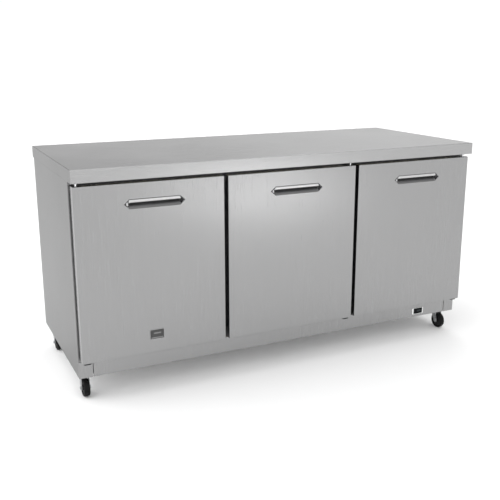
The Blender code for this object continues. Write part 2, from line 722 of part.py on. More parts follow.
def finned_coil(name, low, high, margin, fins, depth, open_side):
    """A block with a row of grooves cut into the side it breathes through, front or rear."""
    coil = put(name, box(low, high), "aluminium")
    width = 0.006
    pitch = (high.x - low.x - 2 * margin - width) / (fins - 1)
    if open_side < 0:
        y0, y1 = low.y - PAST, high.y - depth
    else:
        y0, y1 = low.y + depth, high.y + PAST
    groove = box((low.x + margin, y0, low.z + margin), (low.x + margin + width, y1, high.z - margin))
    repeat(cut(coil, groove), fins, (pitch, 0, 0))
    return coil


def make_evaporator():
    """The fan coil at the top of the rear wall: a housing, a finned coil, a motor and a fan."""
    low, high = EVAPORATOR_LOW, EVAPORATOR_HIGH
    shell = mesh_of(open_box(low, high, (0, 1, 0)))
    housing = thicken(put("evaporator_housing", shell, "aluminium"), 0.0012)
    cut(housing, rod((0, low.y - PAST, EVAPORATOR_Z), (0, low.y + PAST, EVAPORATOR_Z), FAN_WINDOW_R, 32))
    finned_coil("evaporator_coil", Vector((low.x + 0.045, 0.270, low.z + 0.020)),
                Vector((high.x - 0.045, 0.310, high.z - 0.020)), 0.010, 24, 0.010, -1)
    motor = put("evaporator_fan_motor",
                rod((0, 0.240, EVAPORATOR_Z), (0, 0.264, EVAPORATOR_Z), 0.022, 20), "dark_plastic")
    add(motor, box((low.x + 0.004, 0.254, EVAPORATOR_Z - 0.008),
                   (high.x - 0.004, 0.260, EVAPORATOR_Z + 0.008)))
    make_rotor("evaporator_fan", Vector((0, EVAPORATOR_FAN_Y, EVAPORATOR_Z)), EVAPORATOR_FAN_R, 0.016, 0.020)


def make_condensing_unit():
    """The compressor, condenser, fan and drain pan behind the rear cover."""
    shell = [(0, 0.185), (0.030, 0.182), (0.055, 0.170), (0.068, 0.150), (0.070, 0.040),
             (0.064, 0.020), (0.050, 0.010), (0, 0.006)]
    spot = Vector((COMPRESSOR_X, COMPRESSOR_Y, MACHINE_Z0))
    compressor = turned("compressor", shell, 24, "black_enamel", spot)
    add(compressor, box(spot + Vector((-0.085, -0.075, 0)), spot + Vector((0.085, 0.075, 0.012))))

    finned_coil("condenser_coil", Vector((CONDENSER_X - CONDENSER_HALF, CONDENSER_Y0, MACHINE_Z0)),
                Vector((CONDENSER_X + CONDENSER_HALF, CONDENSER_Y1, CONDENSER_Z1)), 0.010, 16, 0.025, 1)
    make_rotor("condenser_fan", Vector((CONDENSER_X, CONDENSER_FAN_Y, CONDENSER_Z)), CONDENSER_FAN_R,
               0.022, 0.024)
    motor = put("condenser_fan_motor",
                rod((CONDENSER_X, 0.190, CONDENSER_Z), (CONDENSER_X, 0.258, CONDENSER_Z), 0.035, 24),
                "black_enamel")
    add(motor, box((CONDENSER_X - 0.04, 0.205, MACHINE_Z0), (CONDENSER_X + 0.04, 0.240, CONDENSER_Z - 0.01)))

    bm = open_box((*DRAIN_LOW, MACHINE_Z0), (*DRAIN_HIGH, MACHINE_Z0 + DRAIN_H), (0, 0, 1))
    thicken(put("drain_pan", mesh_of(bm), "galvanised"), 0.0015)


def build():
    make_worktop()
    for side, sign in (("left", -1), ("right", 1)):
        make_side_panel(side, sign)
        make_corner_post(side, sign)
        make_mullion(side, sign * MULLION_X)
    make_insulation()
    make_liner()
    make_front_frame()
    make_back_panel()
    make_rear_grille()
    make_power_inlet()
    make_base_pan()
    make_kick_panel()
    make_controller()
    for section, (x, half) in SHELVES.items():
        make_shelf(section, x, half)
    for side in DOORS_X:
        make_door(side)
    for end in CASTER_Y:
        for side in CASTER_SIDE:
            make_caster(end, side)
    make_evaporator()
    make_condensing_unit()
    for obj in PARTS.objects:
        if obj.type == "MESH" and obj.data.polygons:
            smooth(obj)


build()
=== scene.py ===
"""Looks of the three-door worktop refrigerator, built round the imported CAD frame."""

import json
import math

import bmesh
import bpy
from mathutils import Matrix, Vector


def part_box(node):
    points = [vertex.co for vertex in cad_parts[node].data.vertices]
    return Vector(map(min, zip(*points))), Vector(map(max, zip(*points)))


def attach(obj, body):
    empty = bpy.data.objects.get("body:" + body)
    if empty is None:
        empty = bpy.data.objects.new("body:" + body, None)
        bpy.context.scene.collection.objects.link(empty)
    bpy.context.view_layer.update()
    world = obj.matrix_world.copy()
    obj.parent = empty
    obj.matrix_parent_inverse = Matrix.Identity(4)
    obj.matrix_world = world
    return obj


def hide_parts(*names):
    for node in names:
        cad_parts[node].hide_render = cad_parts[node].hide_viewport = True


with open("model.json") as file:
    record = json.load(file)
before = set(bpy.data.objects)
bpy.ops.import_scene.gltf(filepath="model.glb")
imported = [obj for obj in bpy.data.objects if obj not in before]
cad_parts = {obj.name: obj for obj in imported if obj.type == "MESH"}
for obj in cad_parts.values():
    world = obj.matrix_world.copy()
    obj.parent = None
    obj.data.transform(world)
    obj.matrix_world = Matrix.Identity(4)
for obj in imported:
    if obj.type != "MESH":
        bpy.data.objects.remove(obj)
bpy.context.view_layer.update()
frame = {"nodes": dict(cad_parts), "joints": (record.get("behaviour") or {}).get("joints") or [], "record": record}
JOINTS = {joint["name"]: Vector(joint["pos_m"]) for joint in frame["joints"]}

SECTIONS = ("left", "middle", "right")
CASTERS = [f"{end}_{side}" for end in ("front", "rear") for side in ("left", "right")]
SIGNS = (-1, 1)
QUARTERS = [(a, b) for a in SIGNS for b in SIGNS]
MM = 0.001


def add_object(name, data):
    obj = bpy.data.objects.new(name, data)
    bpy.context.scene.collection.objects.link(obj)
    return obj


def between(low, high, share):
    return low + (high - low) * share


# ---- node helpers
def new_tree(name):
    mat = bpy.data.materials.new(name)
    mat.use_nodes = True
    tree = mat.node_tree
    return mat, tree, tree.nodes["Principled BSDF"]


def link(tree, source, target):
    tree.links.new(source, target)


def noise(tree, scale, stretch=(1, 1, 1), detail=4.0, rough=0.6):
    """A noise texture in the piece's own coordinates, stretched along its axes."""
    coords = tree.nodes.new("ShaderNodeTexCoord")
    mapping = tree.nodes.new("ShaderNodeMapping")
    mapping.inputs["Scale"].default_value = stretch
    texture = tree.nodes.new("ShaderNodeTexNoise")
    texture.inputs["Scale"].default_value = scale
    texture.inputs["Detail"].default_value = detail
    texture.inputs["Roughness"].default_value = rough
    link(tree, coords.outputs["Object"], mapping.inputs["Vector"])
    link(tree, mapping.outputs["Vector"], texture.inputs["Vector"])
    return texture.outputs["Fac"]


def spread(tree, value, low, high):
    """Maps a 0 to 1 value to a range."""
    node = tree.nodes.new("ShaderNodeMapRange")
    node.inputs["From Min"].default_value = 0.25
    node.inputs["From Max"].default_value = 0.75
    node.inputs["To Min"].default_value = low
    node.inputs["To Max"].default_value = high
    link(tree, value, node.inputs["Value"])
    return node.outputs["Result"]


def tint(tree, value, dark, light):
    node = tree.nodes.new("ShaderNodeMix")
    node.data_type = "RGBA"
    node.inputs["A"].default_value = (*dark, 1)
    node.inputs["B"].default_value = (*light, 1)
    link(tree, value, node.inputs["Factor"])
    return node.outputs["Result"]


def bump(tree, value, distance, strength=1.0):
    node = tree.nodes.new("ShaderNodeBump")
    node.inputs["Strength"].default_value = strength
    node.inputs["Distance"].default_value = distance
    link(tree, value, node.inputs["Height"])
    return node.outputs["Normal"]


def maths(tree, operation, *values):
    """A sum on node outputs and numbers."""
    node = tree.nodes.new("ShaderNodeMath")
    node.operation = operation
    for socket, value in zip(node.inputs, values):
        if isinstance(value, bpy.types.NodeSocket):
            link(tree, value, socket)
        else:
            socket.default_value = value
    return node.outputs["Value"]


def grey(value):
    return (value, value, value * 1.004)


# ---- materials
def brushed_steel(name, level, roughness, grain, edge=1.0):
    """Satin sheet: fine scratches along one axis, and a slow drift in finish."""
    mat, tree, shader = new_tree(name)
    shader.inputs["Specular Tint"].default_value = (edge, edge, edge, 1)
    stretch = {"x": (0.012, 1, 1), "y": (1, 0.012, 1), "z": (1, 1, 0.012)}[grain]
    scratches = noise(tree, 900, stretch, detail=3.0)
    cloud = noise(tree, 2.2, detail=2.0)
    shader.inputs["Metallic"].default_value = 1.0
    base = tint(tree, spread(tree, scratches, 0, 1), grey(level * 0.94), grey(level * 1.05))
    link(tree, base, shader.inputs["Base Color"])
    rough = maths(tree, "ADD", spread(tree, scratches, -0.05, 0.05),
                  spread(tree, cloud, roughness - 0.02, roughness + 0.02))
    link(tree, rough, shader.inputs["Roughness"])
    link(tree, bump(tree, scratches, 0.00002, 0.25), shader.inputs["Normal"])
    return mat


def plain_metal(name, colour, roughness, drift=0.06, scale=40):
    mat, tree, shader = new_tree(name)
    cloud = noise(tree, scale, detail=5.0)
    shader.inputs["Metallic"].default_value = 1.0
    low = tuple(c * 0.92 for c in colour)
    link(tree, tint(tree, spread(tree, cloud, 0, 1), low, colour), shader.inputs["Base Color"])
    link(tree, spread(tree, cloud, roughness - drift, roughness + drift), shader.inputs["Roughness"])
    return mat


def plastic(name, colour, roughness, gloss=0.5, grain=0.00004, scale=1500):
    mat, tree, shader = new_tree(name)
    shader.inputs["Specular IOR Level"].default_value = gloss
    texture = noise(tree, scale, detail=2.0)
    low = tuple(c * 0.86 for c in colour)
    link(tree, tint(tree, spread(tree, texture, 0, 1), low, colour), shader.inputs["Base Color"])
    link(tree, spread(tree, texture, roughness - 0.05, roughness + 0.06), shader.inputs["Roughness"])
    link(tree, bump(tree, texture, grain, 0.5), shader.inputs["Normal"])
    return mat


# Rolled steel: (level, roughness, way of the grain, reflectance at a glancing angle)
STEELS = {
    "stainless": (0.32, 0.24, "z"),
    # The side steel: a darker copy with less glancing reflectance. Its tone is painted shade on the side sheets
    # and the worktop's ends.
    "side_painted_shade_steel": (0.30, 0.24, "z", 0.64),
    # The top steel: its own grain along x, on a lighter copy of the door steel. Its level and glancing reflectance
    # are painted light on the top.
    "top_painted_light_steel": (0.37, 0.24, "x", 0.92),
    # The frame steel: a dark copy of the steel, painted shade in the door gaps.
    "frame_painted_shade_steel": (0.11, 0.35, "z"),
    # The fold steel: a dark copy of the steel, painted shade of the recess on the side sheets' front folds.
    "fold_painted_shade_steel": (0.21, 0.30, "z"),
    "liner_metal": (0.58, 0.40, "x"),
}

# Other metals: (colour, roughness, drift of the roughness, scale of the drift)
METALS = {
    "galvanised": ((0.34, 0.355, 0.37), 0.45, 0.06, 25),
    "pan_steel": ((0.72, 0.72, 0.72), 0.45, 0.06, 25),
    "fin_aluminium": ((0.66, 0.67, 0.68), 0.40),
    "copper": ((0.72, 0.40, 0.26), 0.30, 0.06, 30),
    "zinc_steel": ((0.42, 0.43, 0.44), 0.30),
    "bright_wire": ((0.78, 0.79, 0.80), 0.20),
    "bright_metal": ((0.80, 0.80, 0.82), 0.10, 0.03),
    "visor_chrome": ((0.54, 0.54, 0.542), 0.12, 0.03),
    # The pull's cup: a darker metal that is partly its own and partly painted shade under the visor.
    "pocket_metal": ((0.19, 0.19, 0.192), 0.45, 0.04),
    # The pull's points: near-black metal, painted shade.
    "painted_shade_tip_metal": ((0.035, 0.035, 0.036), 0.28, 0.04),
    "badge_rim": ((0.38, 0.38, 0.385), 0.25, 0.03),
    "badge_field": ((0.085, 0.085, 0.085), 0.35, 0.05),
    "badge_bar": ((0.24, 0.24, 0.24), 0.30, 0.05),
}

# Plastics, rubbers, paint and foam: (colour, roughness, gloss, depth of the grain, its scale)
PLASTICS = {
    "hinge_black": ((0.025, 0.025, 0.026), 0.45, 0.3),
    "foam": ((0.86, 0.80, 0.58), 0.90, 0.5, 0.0004, 400),
    "door_core": ((0.74, 0.75, 0.76), 0.40),
    "dark_plastic": ((0.025, 0.025, 0.028), 0.45),
    "light_plastic": ((0.93, 0.94, 0.93), 0.35),
    "key_plastic": ((0.020, 0.024, 0.026), 0.40, 0.2),
    "display": ((0.002, 0.003, 0.004), 0.12, 0.1),
    "screen": ((0.030, 0.038, 0.040), 0.30, 0.1),
    "gasket_rubber": ((0.045, 0.045, 0.048), 0.60),
    "wheel_rubber": ((0.005, 0.005, 0.0052), 0.50, 0.12),
    "seal_rubber": ((0.06, 0.06, 0.062), 0.55),
    "wheel_core": ((0.009, 0.009, 0.0095), 0.45, 0.2),
    "black_enamel": ((0.020, 0.020, 0.022), 0.35),
}

MATS = {}
for maker, table in ((brushed_steel, STEELS), (plain_metal, METALS), (plastic, PLASTICS)):
    MATS.update({key: maker(f"{key}_look", *values) for key, values in table.items()})

# The record's slot of each material that only the looks know
dict.fromkeys(("side_painted_shade_steel", "top_painted_light_steel"), "stainless")
dict.fromkeys(("visor_chrome", "badge_rim", "badge_bar"), "bright_metal")

# CAD nodes that are shown as they are, in another material than their slot's: the front frame in a dark steel that
# is painted shade of the door gaps, the base pan in a lighter sheet
NODE_LOOKS = {"front_frame": "frame_painted_shade_steel", "base_pan": "pan_steel"}


def dress_cad_nodes():
    """Gives each CAD node the material of its slot, or the one NODE_LOOKS gives it, which for the front frame is
    painted shade.
    """
    slots = {row["node"]: row["material_slot"] for row in frame["record"]["subparts"]}
    for name, node in frame["nodes"].items():
        key = NODE_LOOKS.get(name, slots[name])
        node.data.materials.clear()
        node.data.materials.append(MATS[key])


# ---- mesh helpers
def mesh_of(bm, name):
    bmesh.ops.recalc_face_normals(bm, faces=bm.faces)
    mesh = bpy.data.meshes.new(name)
    bm.to_mesh(mesh)
    bm.free()
    return mesh


def piece(name, shape, material, stands_for=(), body="cabinet", sharp=40):
    """Adds a finished piece of the object, which moves with a CAD body."""
    mesh = shape if isinstance(shape, bpy.types.Mesh) else mesh_of(shape, name)
    mesh.shade_smooth()
    mesh.set_sharp_from_angle(angle=math.radians(sharp))
    obj = add_object(name, mesh)
    materials = material if isinstance(material, tuple) else (material,)
    for key in materials:
        mesh.materials.append(MATS[key])
    normals = obj.modifiers.new("normals", "WEIGHTED_NORMAL")
    normals.keep_sharp = True
    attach(obj, body)
    if stands_for:
        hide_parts(*stands_for)


def settled(obj):
    """The object's mesh with its modifiers applied. The object itself goes."""
    graph = bpy.context.evaluated_depsgraph_get()
    graph.update()
    result = bpy.data.meshes.new_from_object(obj.evaluated_get(graph))
    bpy.data.objects.remove(obj, do_unlink=True)
    return result


def carve(mesh, *cutters):
    """The mesh with each cutter mesh taken out of it."""
    obj = add_object("carved", mesh)
    tools = [add_object("cutter", cutter) for cutter in cutters]
    for tool in tools:
        mod = obj.modifiers.new("cut", "BOOLEAN")
        mod.operation, mod.solver, mod.object = "DIFFERENCE", "EXACT", tool
    result = settled(obj)
    for tool in tools:
        bpy.data.objects.remove(tool, do_unlink=True)
    return result


def thick(mesh, thickness):
    """A sheet given its thickness, inward."""
    obj = add_object("sheet", mesh)
    mod = obj.modifiers.new("thickness", "SOLIDIFY")
    mod.thickness, mod.offset, mod.use_even_offset = thickness, -1.0, True
    return settled(obj)


def add_block(bm, low, high, radius=0.0, segments=2):
    """A box, with its edges rounded where a radius is given."""
    low, high = Vector(low), Vector(high)
    size = Matrix.Diagonal((*(high - low), 1.0))
    made = bmesh.ops.create_cube(bm, size=1.0, matrix=Matrix.Translation((low + high) / 2) @ size)
    if radius:
        edges = {edge for vert in made["verts"] for edge in vert.link_edges}
        bmesh.ops.bevel(bm, geom=list(edges), offset=radius, segments=segments, profile=0.5,
                        affect="EDGES")
    return bm


def block(low, high, radius=0.0, segments=2):
    return add_block(bmesh.new(), low, high, radius, segments)


def loft(bm, rings, caps=True):
    """Joins closed rings of points, one after another, into a skin."""
    made = [[bm.verts.new(point) for point in ring] for ring in rings]
    for first, second in zip(made, made[1:]):
        for i in range(len(first)):
            j = (i + 1) % len(first)
            bm.faces.new((first[i], first[j], second[j], second[i]))
    if caps:
        bm.faces.new(made[0][::-1])
        bm.faces.new(made[-1])
    return bm


def turned_ring(radii, height, at, axis):
    """A ring of points round an axis, one for each radius."""
    turn = Vector(axis).to_track_quat("Z", "Y").to_matrix()
    ring = []
    for i, radius in enumerate(radii):
        angle = math.tau * i / len(radii)
        ring.append(Vector(at) + turn @ Vector((radius * math.cos(angle), radius * math.sin(angle), height)))
    return ring


def add_turned(bm, profile, steps, at, axis):
    """A turned shape: (radius, height) points along an axis that starts at a point."""
    return loft(bm, [turned_ring([radius] * steps, height, at, axis) for radius, height in profile])


def turned(profile, steps, at, axis=(0, 0, 1)):
    return add_turned(bmesh.new(), profile, steps, at, axis)


def add_tube(bm, points, radius, sides=10):
    """A round bar or tube along a path."""
    points = [Vector(point) for point in points]
    rings = []
    side = None
    for i, point in enumerate(points):
        ahead = points[min(i + 1, len(points) - 1)] - points[max(i - 1, 0)]
        ahead.normalize()
        if side is None:
            side = ahead.orthogonal().normalized()
        side = (side - ahead * side.dot(ahead)).normalized()
        up = ahead.cross(side)
        turns = [math.tau * k / sides for k in range(sides)]
        rings.append([point + (side * math.cos(a) + up * math.sin(a)) * radius for a in turns])
    return loft(bm, rings)


def smooth_path(points, steps=6):
    """A curve through the points, for bent tube (Catmull-Rom)."""
    points = [Vector(point) for point in points]
    ends = [2 * points[0] - points[1]] + points + [2 * points[-1] - points[-2]]
    path = []
    for a, b, c, d in zip(ends, ends[1:], ends[2:], ends[3:]):
        for i in range(steps):
            t = i / steps
            path.append(0.5 * (2 * b + (c - a) * t + (2 * a - 5 * b + 4 * c - d) * t ** 2
                               + (3 * b - a - 3 * c + d) * t ** 3))
    return path + [points[-1]]


def fillet(points, radius, steps=4):
    """An open 2-D path with its inner corners rounded."""
    points = [Vector(point) for point in points]
    path = [points[0]]
    for before, corner, after in zip(points, points[1:], points[2:]):
        come, go = (corner - before).normalized(), (after - corner).normalized()
        start, end = corner - come * radius, corner + go * radius
        for i in range(steps + 1):
            t = i / steps
            path.append(start * (1 - t) ** 2 + 2 * corner * t * (1 - t) + end * t ** 2)
    return path + [points[-1]]


def bent_sheet(points, radius, thickness, low, high, place):
    """A folded sheet: a 2-D path with rounded bends, thickened to its left and made long.

    place turns (u, v, w) into a point, where w runs from low to high.
    """
    path = fillet(points, radius)
    inner = []
    for i, point in enumerate(path):
        ahead = (path[min(i + 1, len(path) - 1)] - path[max(i - 1, 0)]).normalized()
        inner.append(point + Vector((-ahead.y, ahead.x)) * thickness)
    outline = path + inner[::-1]
    return loft(bmesh.new(), [[place(p.x, p.y, w) for p in outline] for w in (low, high)])


def round_rect(x0, x1, z0, z1, radius, steps=4):
    """Points of a rounded rectangle as (x, z), anticlockwise from the lower right corner."""
    corners = ((x1 - radius, z0 + radius, -90), (x1 - radius, z1 - radius, 0),
               (x0 + radius, z1 - radius, 90), (x0 + radius, z0 + radius, 180))
    points = []
    for x, z, start in corners:
        for i in range(steps + 1):
            angle = math.radians(start + 90 * i / steps)
            points.append((x + radius * math.cos(angle), z + radius * math.sin(angle)))
    return points


def upright(points, y):
    """An (x, z) outline as points of the plane at y."""
    return [Vector((x, y, z)) for x, z in points]


def inset_rect(low, high, inset, radius, y, steps=4):
    """A rounded rectangle in the plane at y, set in from the sides of a box."""
    return upright(round_rect(low.x + inset, high.x - inset, low.z + inset, high.z - inset, radius, steps), y)


def add_prism(bm, points, y0, y1):
    """An (x, z) outline made thick from y0 to y1."""
    return loft(bm, [upright(points, y) for y in (y0, y1)])


# A pan-head screw: (reach, level) of its rings, as shares of the head's radius and height
SCREW_HEAD = ((0.98, -0.3), (1.0, 0.15), (0.90, 0.62), (0.70, 0.92))
SCREW_CROSS = ((0.52, 1.0), (0.45, 0.35))
SCREW_R = 0.0036


def add_screw(bm, at, axis, radius=SCREW_R):
    """A pan-head screw with a cross recess."""
    steps, height, waist = 16, radius * 0.55, 0.30
    rings = [turned_ring([radius * reach] * steps, level * height, at, axis) for reach, level in SCREW_HEAD]
    for reach, level in SCREW_CROSS:
        radii = [radius * reach * (1 if i % 4 == 0 else waist) for i in range(steps)]
        rings.append(turned_ring(radii, level * height, at, axis))
    return loft(bm, rings)


# ---- cabinet
def folded_pan(low, high, axis, way, radius, bend, rim_steps, sheet):
    """A sheet box that is open on one side, with rounded edges and a rim rolled inward.

    The open side lies the given way along the axis. Each rim step is (inward, along the axis).
    """
    bm = block(low, high)
    lid = [f for f in bm.faces if f.normal[axis] * way > 0.9]
    bmesh.ops.delete(bm, geom=lid, context="FACES_ONLY")
    rounded = [e for e in bm.edges if not e.is_boundary]
    bmesh.ops.bevel(bm, geom=rounded, offset=radius, segments=4, profile=0.5, affect="EDGES")
    edge = (high if way > 0 else low)[axis] - way * bend
    for vert in bm.verts:
        if (vert.co[axis] - edge) * way > 0:
            vert.co[axis] = edge
    centre, done = (low + high) / 2, (0.0, 0.0)
    for inward, along in rim_steps:
        rim = [e for e in bm.edges if e.is_boundary]
        made = bmesh.ops.extrude_edge_only(bm, edges=rim)["geom"]
        for vert in (v for v in made if isinstance(v, bmesh.types.BMVert)):
            for side in {0, 1, 2} - {axis}:
                vert.co[side] -= math.copysign(inward - done[0], vert.co[side] - centre[side])
            vert.co[axis] += way * (along - done[1])
        done = (inward, along)
    return thick(mesh_of(bm, "pan"), sheet)


def make_worktop():
    """The top: a pan with rounded edges, and its lower edge rolled under into a lip."""
    low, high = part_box("worktop")
    radius, lip, sheet = 0.0026, 0.0115, 0.0012
    rim = [(radius * (1 - math.cos(a)), radius * math.sin(a)) for a in map(math.radians, (30, 60, 90))]
    mesh = folded_pan(low, high, 2, -1, radius, radius, [*rim, (lip, radius)], sheet)
    # The top face takes the top steel, whose tone is painted light. The ends take the side steel, whose tone is
    # painted shade.
    for face in mesh.polygons:
        face.material_index = 1 if abs(face.normal.x) > 0.7 else 0
    piece("worktop_top", mesh, ("top_painted_light_steel", "side_painted_shade_steel"), ["worktop"])


def make_side_panel(side, sign):
    """The side sheet, with its front and rear edges folded inward."""
    low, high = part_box(f"side_panel_{side}")
    x = high.x if sign > 0 else low.x
    front_turn, rear_turn = 0.012, 0.015
    path = [(x - sign * front_turn, low.y), (x, low.y), (x, high.y), (x - sign * rear_turn, high.y)]
    bend, sheet = 0.0012, 0.001
    bm = bent_sheet(path[::sign], bend, sheet, low.z, high.z, lambda u, v, w: Vector((u, v, w)))
    mesh = mesh_of(bm, f"side_sheet_{side}")
    # The front fold's faces take the dark fold steel, painted shade of the recess beside the door. The rest takes
    # the side steel, a darker copy whose tone is painted shade.
    for face in mesh.polygons:
        face.material_index = 1 if face.normal.y < -0.45 else 0
    finishes_with_painted_shade = ("side_painted_shade_steel", "fold_painted_shade_steel")
    piece(f"side_sheet_{side}", mesh, finishes_with_painted_shade, [f"side_panel_{side}"])


def add_louvre(bm, x, half, y, z):
    """A hood over one slot: a quarter-round scoop that closes to nothing at both ends."""
    reach, rise, sheet = 0.0065, 0.011, 0.0008
    quarter = [math.radians(degrees) for degrees in (0, 25, 50, 75, 90)]
    sections = []
    for share in (0.0, 0.02, 0.06, 0.94, 0.98, 1.0):
        swell = min(1.0, min(share, 1 - share) / 0.06) ** 0.5
        arc = [(y + reach * swell * math.sin(a), z + rise * math.cos(a)) for a in quarter]
        inside = [(depth - sheet, height - sheet / 4) for depth, height in arc[::-1]]
        sections.append([Vector((x - half + 2 * half * share, *spot)) for spot in arc + inside])
    loft(bm, sections)


def make_rear_cover():
    """The cover of the machine space: two fields of hooded louvres, and its screws."""
    low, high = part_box("rear_grille")
    back_low, back_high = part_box("back_panel")
    slots, hoods, screws = bmesh.new(), bmesh.new(), bmesh.new()
    half, first, pitch, rows, slot, past = 0.20, 0.140, 0.022, 9, 0.009, 0.01
    for x in (-0.55, 0.40):
        for row in range(rows):
            z = first + row * pitch
            add_block(slots, (x - half, low.y - past, z), (x + half, high.y + past, z + slot))
            add_louvre(hoods, x, half, high.y, z)
    inlet_low, inlet_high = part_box("power_inlet")
    middle, reach = (inlet_low + inlet_high) / 2, Vector((0.025, 0, 0.015))
    add_block(slots, Vector((middle.x, low.y - past, middle.z)) - reach,
              Vector((middle.x, high.y + past, middle.z)) + reach)
    cover = carve(mesh_of(block(low, high), "cover"), mesh_of(slots, "slots"))
    piece("rear_cover", cover, "galvanised", ["rear_grille"])
    piece("rear_louvres", hoods, "galvanised")

    for share in (0.01, 0.18, 0.34, 0.50, 0.66, 0.82, 0.99):
        x = between(low.x, high.x, share)
        for y, z in ((high.y, high.z - 0.008), (high.y, low.z + 0.010),
                     (back_high.y, back_low.z + 0.010), (back_high.y, back_high.z - 0.012)):
            add_screw(screws, (x, y, z), (0, 1, 0))
    piece("rear_screws", screws, "zinc_steel")


def make_power_inlet():
    """A panel inlet with a rounded flange, a keyed socket, its three pins and two screws."""
    low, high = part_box("power_inlet")
    middle = (low + high) / 2
    behind, flange = high.y - 0.003, high.y - 0.0036
    wide, tall = 0.0245, 0.0145
    body = block((middle.x - wide, low.y, middle.z - tall), (middle.x + wide, behind, middle.z + tall), 0.002)
    add_prism(body, round_rect(low.x, high.x, low.z, high.z, 0.006), flange, high.y)
    half, rise, corner = 0.018, 0.010, 0.0055
    keyed = ((-half, -rise), (half, -rise), (half, rise - corner), (half - corner, rise),
             (corner - half, rise), (-half, rise - corner))
    socket = add_prism(bmesh.new(), [(middle.x + x, middle.z + z) for x, z in keyed],
                       high.y - 0.020, high.y + 0.01)
    piece("inlet_body", carve(mesh_of(body, "inlet"), mesh_of(socket, "socket")), "dark_plastic",
          ["power_inlet"])
    pins, screws = bmesh.new(), bmesh.new()
    for x, z in ((-0.007, -0.003), (0.007, -0.003), (0.0, 0.004)):
        add_block(pins, (middle.x + x - 0.001, high.y - 0.021, middle.z + z - 0.002),
                  (middle.x + x + 0.001, high.y - 0.005, middle.z + z + 0.002), 0.0004, 1)
    piece("inlet_pins", pins, "bright_metal")
    for sign in SIGNS:
        add_screw(screws, (middle.x + sign * 0.028, high.y, middle.z), (0, 1, 0), 0.0026)
    piece("inlet_screws", screws, "zinc_steel")


def make_controller():
    """The panel thermostat: light frame, glossy window with a small screen, and touch keys."""
    low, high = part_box("controller_bezel")
    win_low, win_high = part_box("controller_display")
    side_bar, thin_bar = 0.0068, 0.0016
    frame_low = Vector((win_low.x - side_bar, 0, low.z))
    frame_high = Vector((win_high.x + side_bar * 0.7, 0, high.z))
    hole_low, hole_high = win_low.copy(), win_high.copy()
    hole_low.z, hole_high.z = low.z + thin_bar, high.z - thin_bar
    front, back = low.y, low.y + 0.0030
    outside = ((0.0, back), (0.0, front + 0.0009), (0.0004, front + 0.0003), (0.0011, front))
    well = ((-0.0004, front), (-0.0001, front + 0.0006), (0.0, front + 0.0028))
    rings = [inset_rect(frame_low, frame_high, inset, 0.0030 - inset, y) for inset, y in outside]
    rings += [inset_rect(hole_low, hole_high, inset, 0.0020 - inset, y) for inset, y in well]
    shape = loft(bmesh.new(), rings, caps=False)
    clip = block((win_low.x - 0.003, back + 0.0005, low.z + 0.002),
                 (win_high.x + 0.003, high.y, high.z - 0.002), 0.001)
    shape.from_mesh(mesh_of(clip, "clip_body"))
    piece("controller_frame", shape, "light_plastic", ["controller_bezel"])
    levels = ((0.0002, win_high.y), (0.0002, front + 0.0010), (0.0007, front + 0.0006))
    window = loft(bmesh.new(), [inset_rect(hole_low, hole_high, inset, 0.0018, y) for inset, y in levels])
    piece("controller_window", window, "display", ["controller_display"])

    glass, middle, row = front + 0.0006, (low.z + high.z) / 2, 0.0045
    outline = round_rect(win_low.x + 0.020, win_high.x - 0.010, middle - row, middle + row, 0.001)
    screen = add_prism(bmesh.new(), outline, glass - 0.0002, glass + 0.0002)
    piece("controller_screen", screen, "screen")
    keys = bmesh.new()
    for x in (win_low.x + 0.004, win_high.x - 0.008, win_high.x - 0.0035):
        for z in (middle - row, middle + row):
            key = round_rect(x - 0.0016, x + 0.0016, z - 0.0018, z + 0.0018, 0.0012)
            add_prism(keys, key, glass - 0.0003, glass + 0.0002)
    piece("controller_keys", keys, "key_plastic")


def make_kick_panel():
    """The folded panel under the doors, with the controller's window cut in it."""
    low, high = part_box("kick_panel")
    win_low, win_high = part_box("controller_display")
    bezel_low, bezel_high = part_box("controller_bezel")
    path = [(low.y + 0.015, low.z), (low.y, low.z), (low.y, high.z), (low.y + 0.010, high.z)]
    end_gap, bend, sheet, beside = 0.0013, 0.0022, -0.0010, 0.0035
    kick = bent_sheet(path, bend, sheet, low.x + end_gap, high.x - end_gap, lambda u, v, w: Vector((w, u, v)))
    hole = block((win_low.x - beside, low.y - 0.01, bezel_low.z + 0.0015),
                 (win_high.x + beside, low.y + 0.008, bezel_high.z - 0.0015))
    piece("kick_sheet", carve(mesh_of(kick, "kick"), mesh_of(hole, "hole")), "stainless", ["kick_panel"])


def make_shelf(section):
    """A wire shelf: a frame of round bar, cross bars and close thin wires."""
    low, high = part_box(f"shelf_{section}")
    bar, wire, corner, count = 0.0030, 0.00155, 0.012, 23
    z_bar, z_wire = low.z + bar, high.z - wire
    bm = bmesh.new()
    outline = [Vector((x, y, z_bar)) for x, y in
               round_rect(low.x + bar, high.x - bar, low.y + bar, high.y - bar, corner)]
    add_tube(bm, [*outline, outline[0]], bar)
    for share in (0.33, 0.67):
        y, z = between(low.y, high.y, share), z_bar - 0.0006
        add_tube(bm, [(low.x + bar, y, z), (high.x - bar, y, z)], bar * 0.8)
    for i in range(1, count):
        x = between(low.x, high.x, i / count)
        add_tube(bm, [(x, low.y + wire, z_bar), (x, low.y + 0.004, z_wire), (x, high.y - 0.004, z_wire),
                      (x, high.y - wire, z_bar)], wire, 8)
    piece(f"wire_shelf_{section}", bm, "bright_wire", [f"shelf_{section}"])


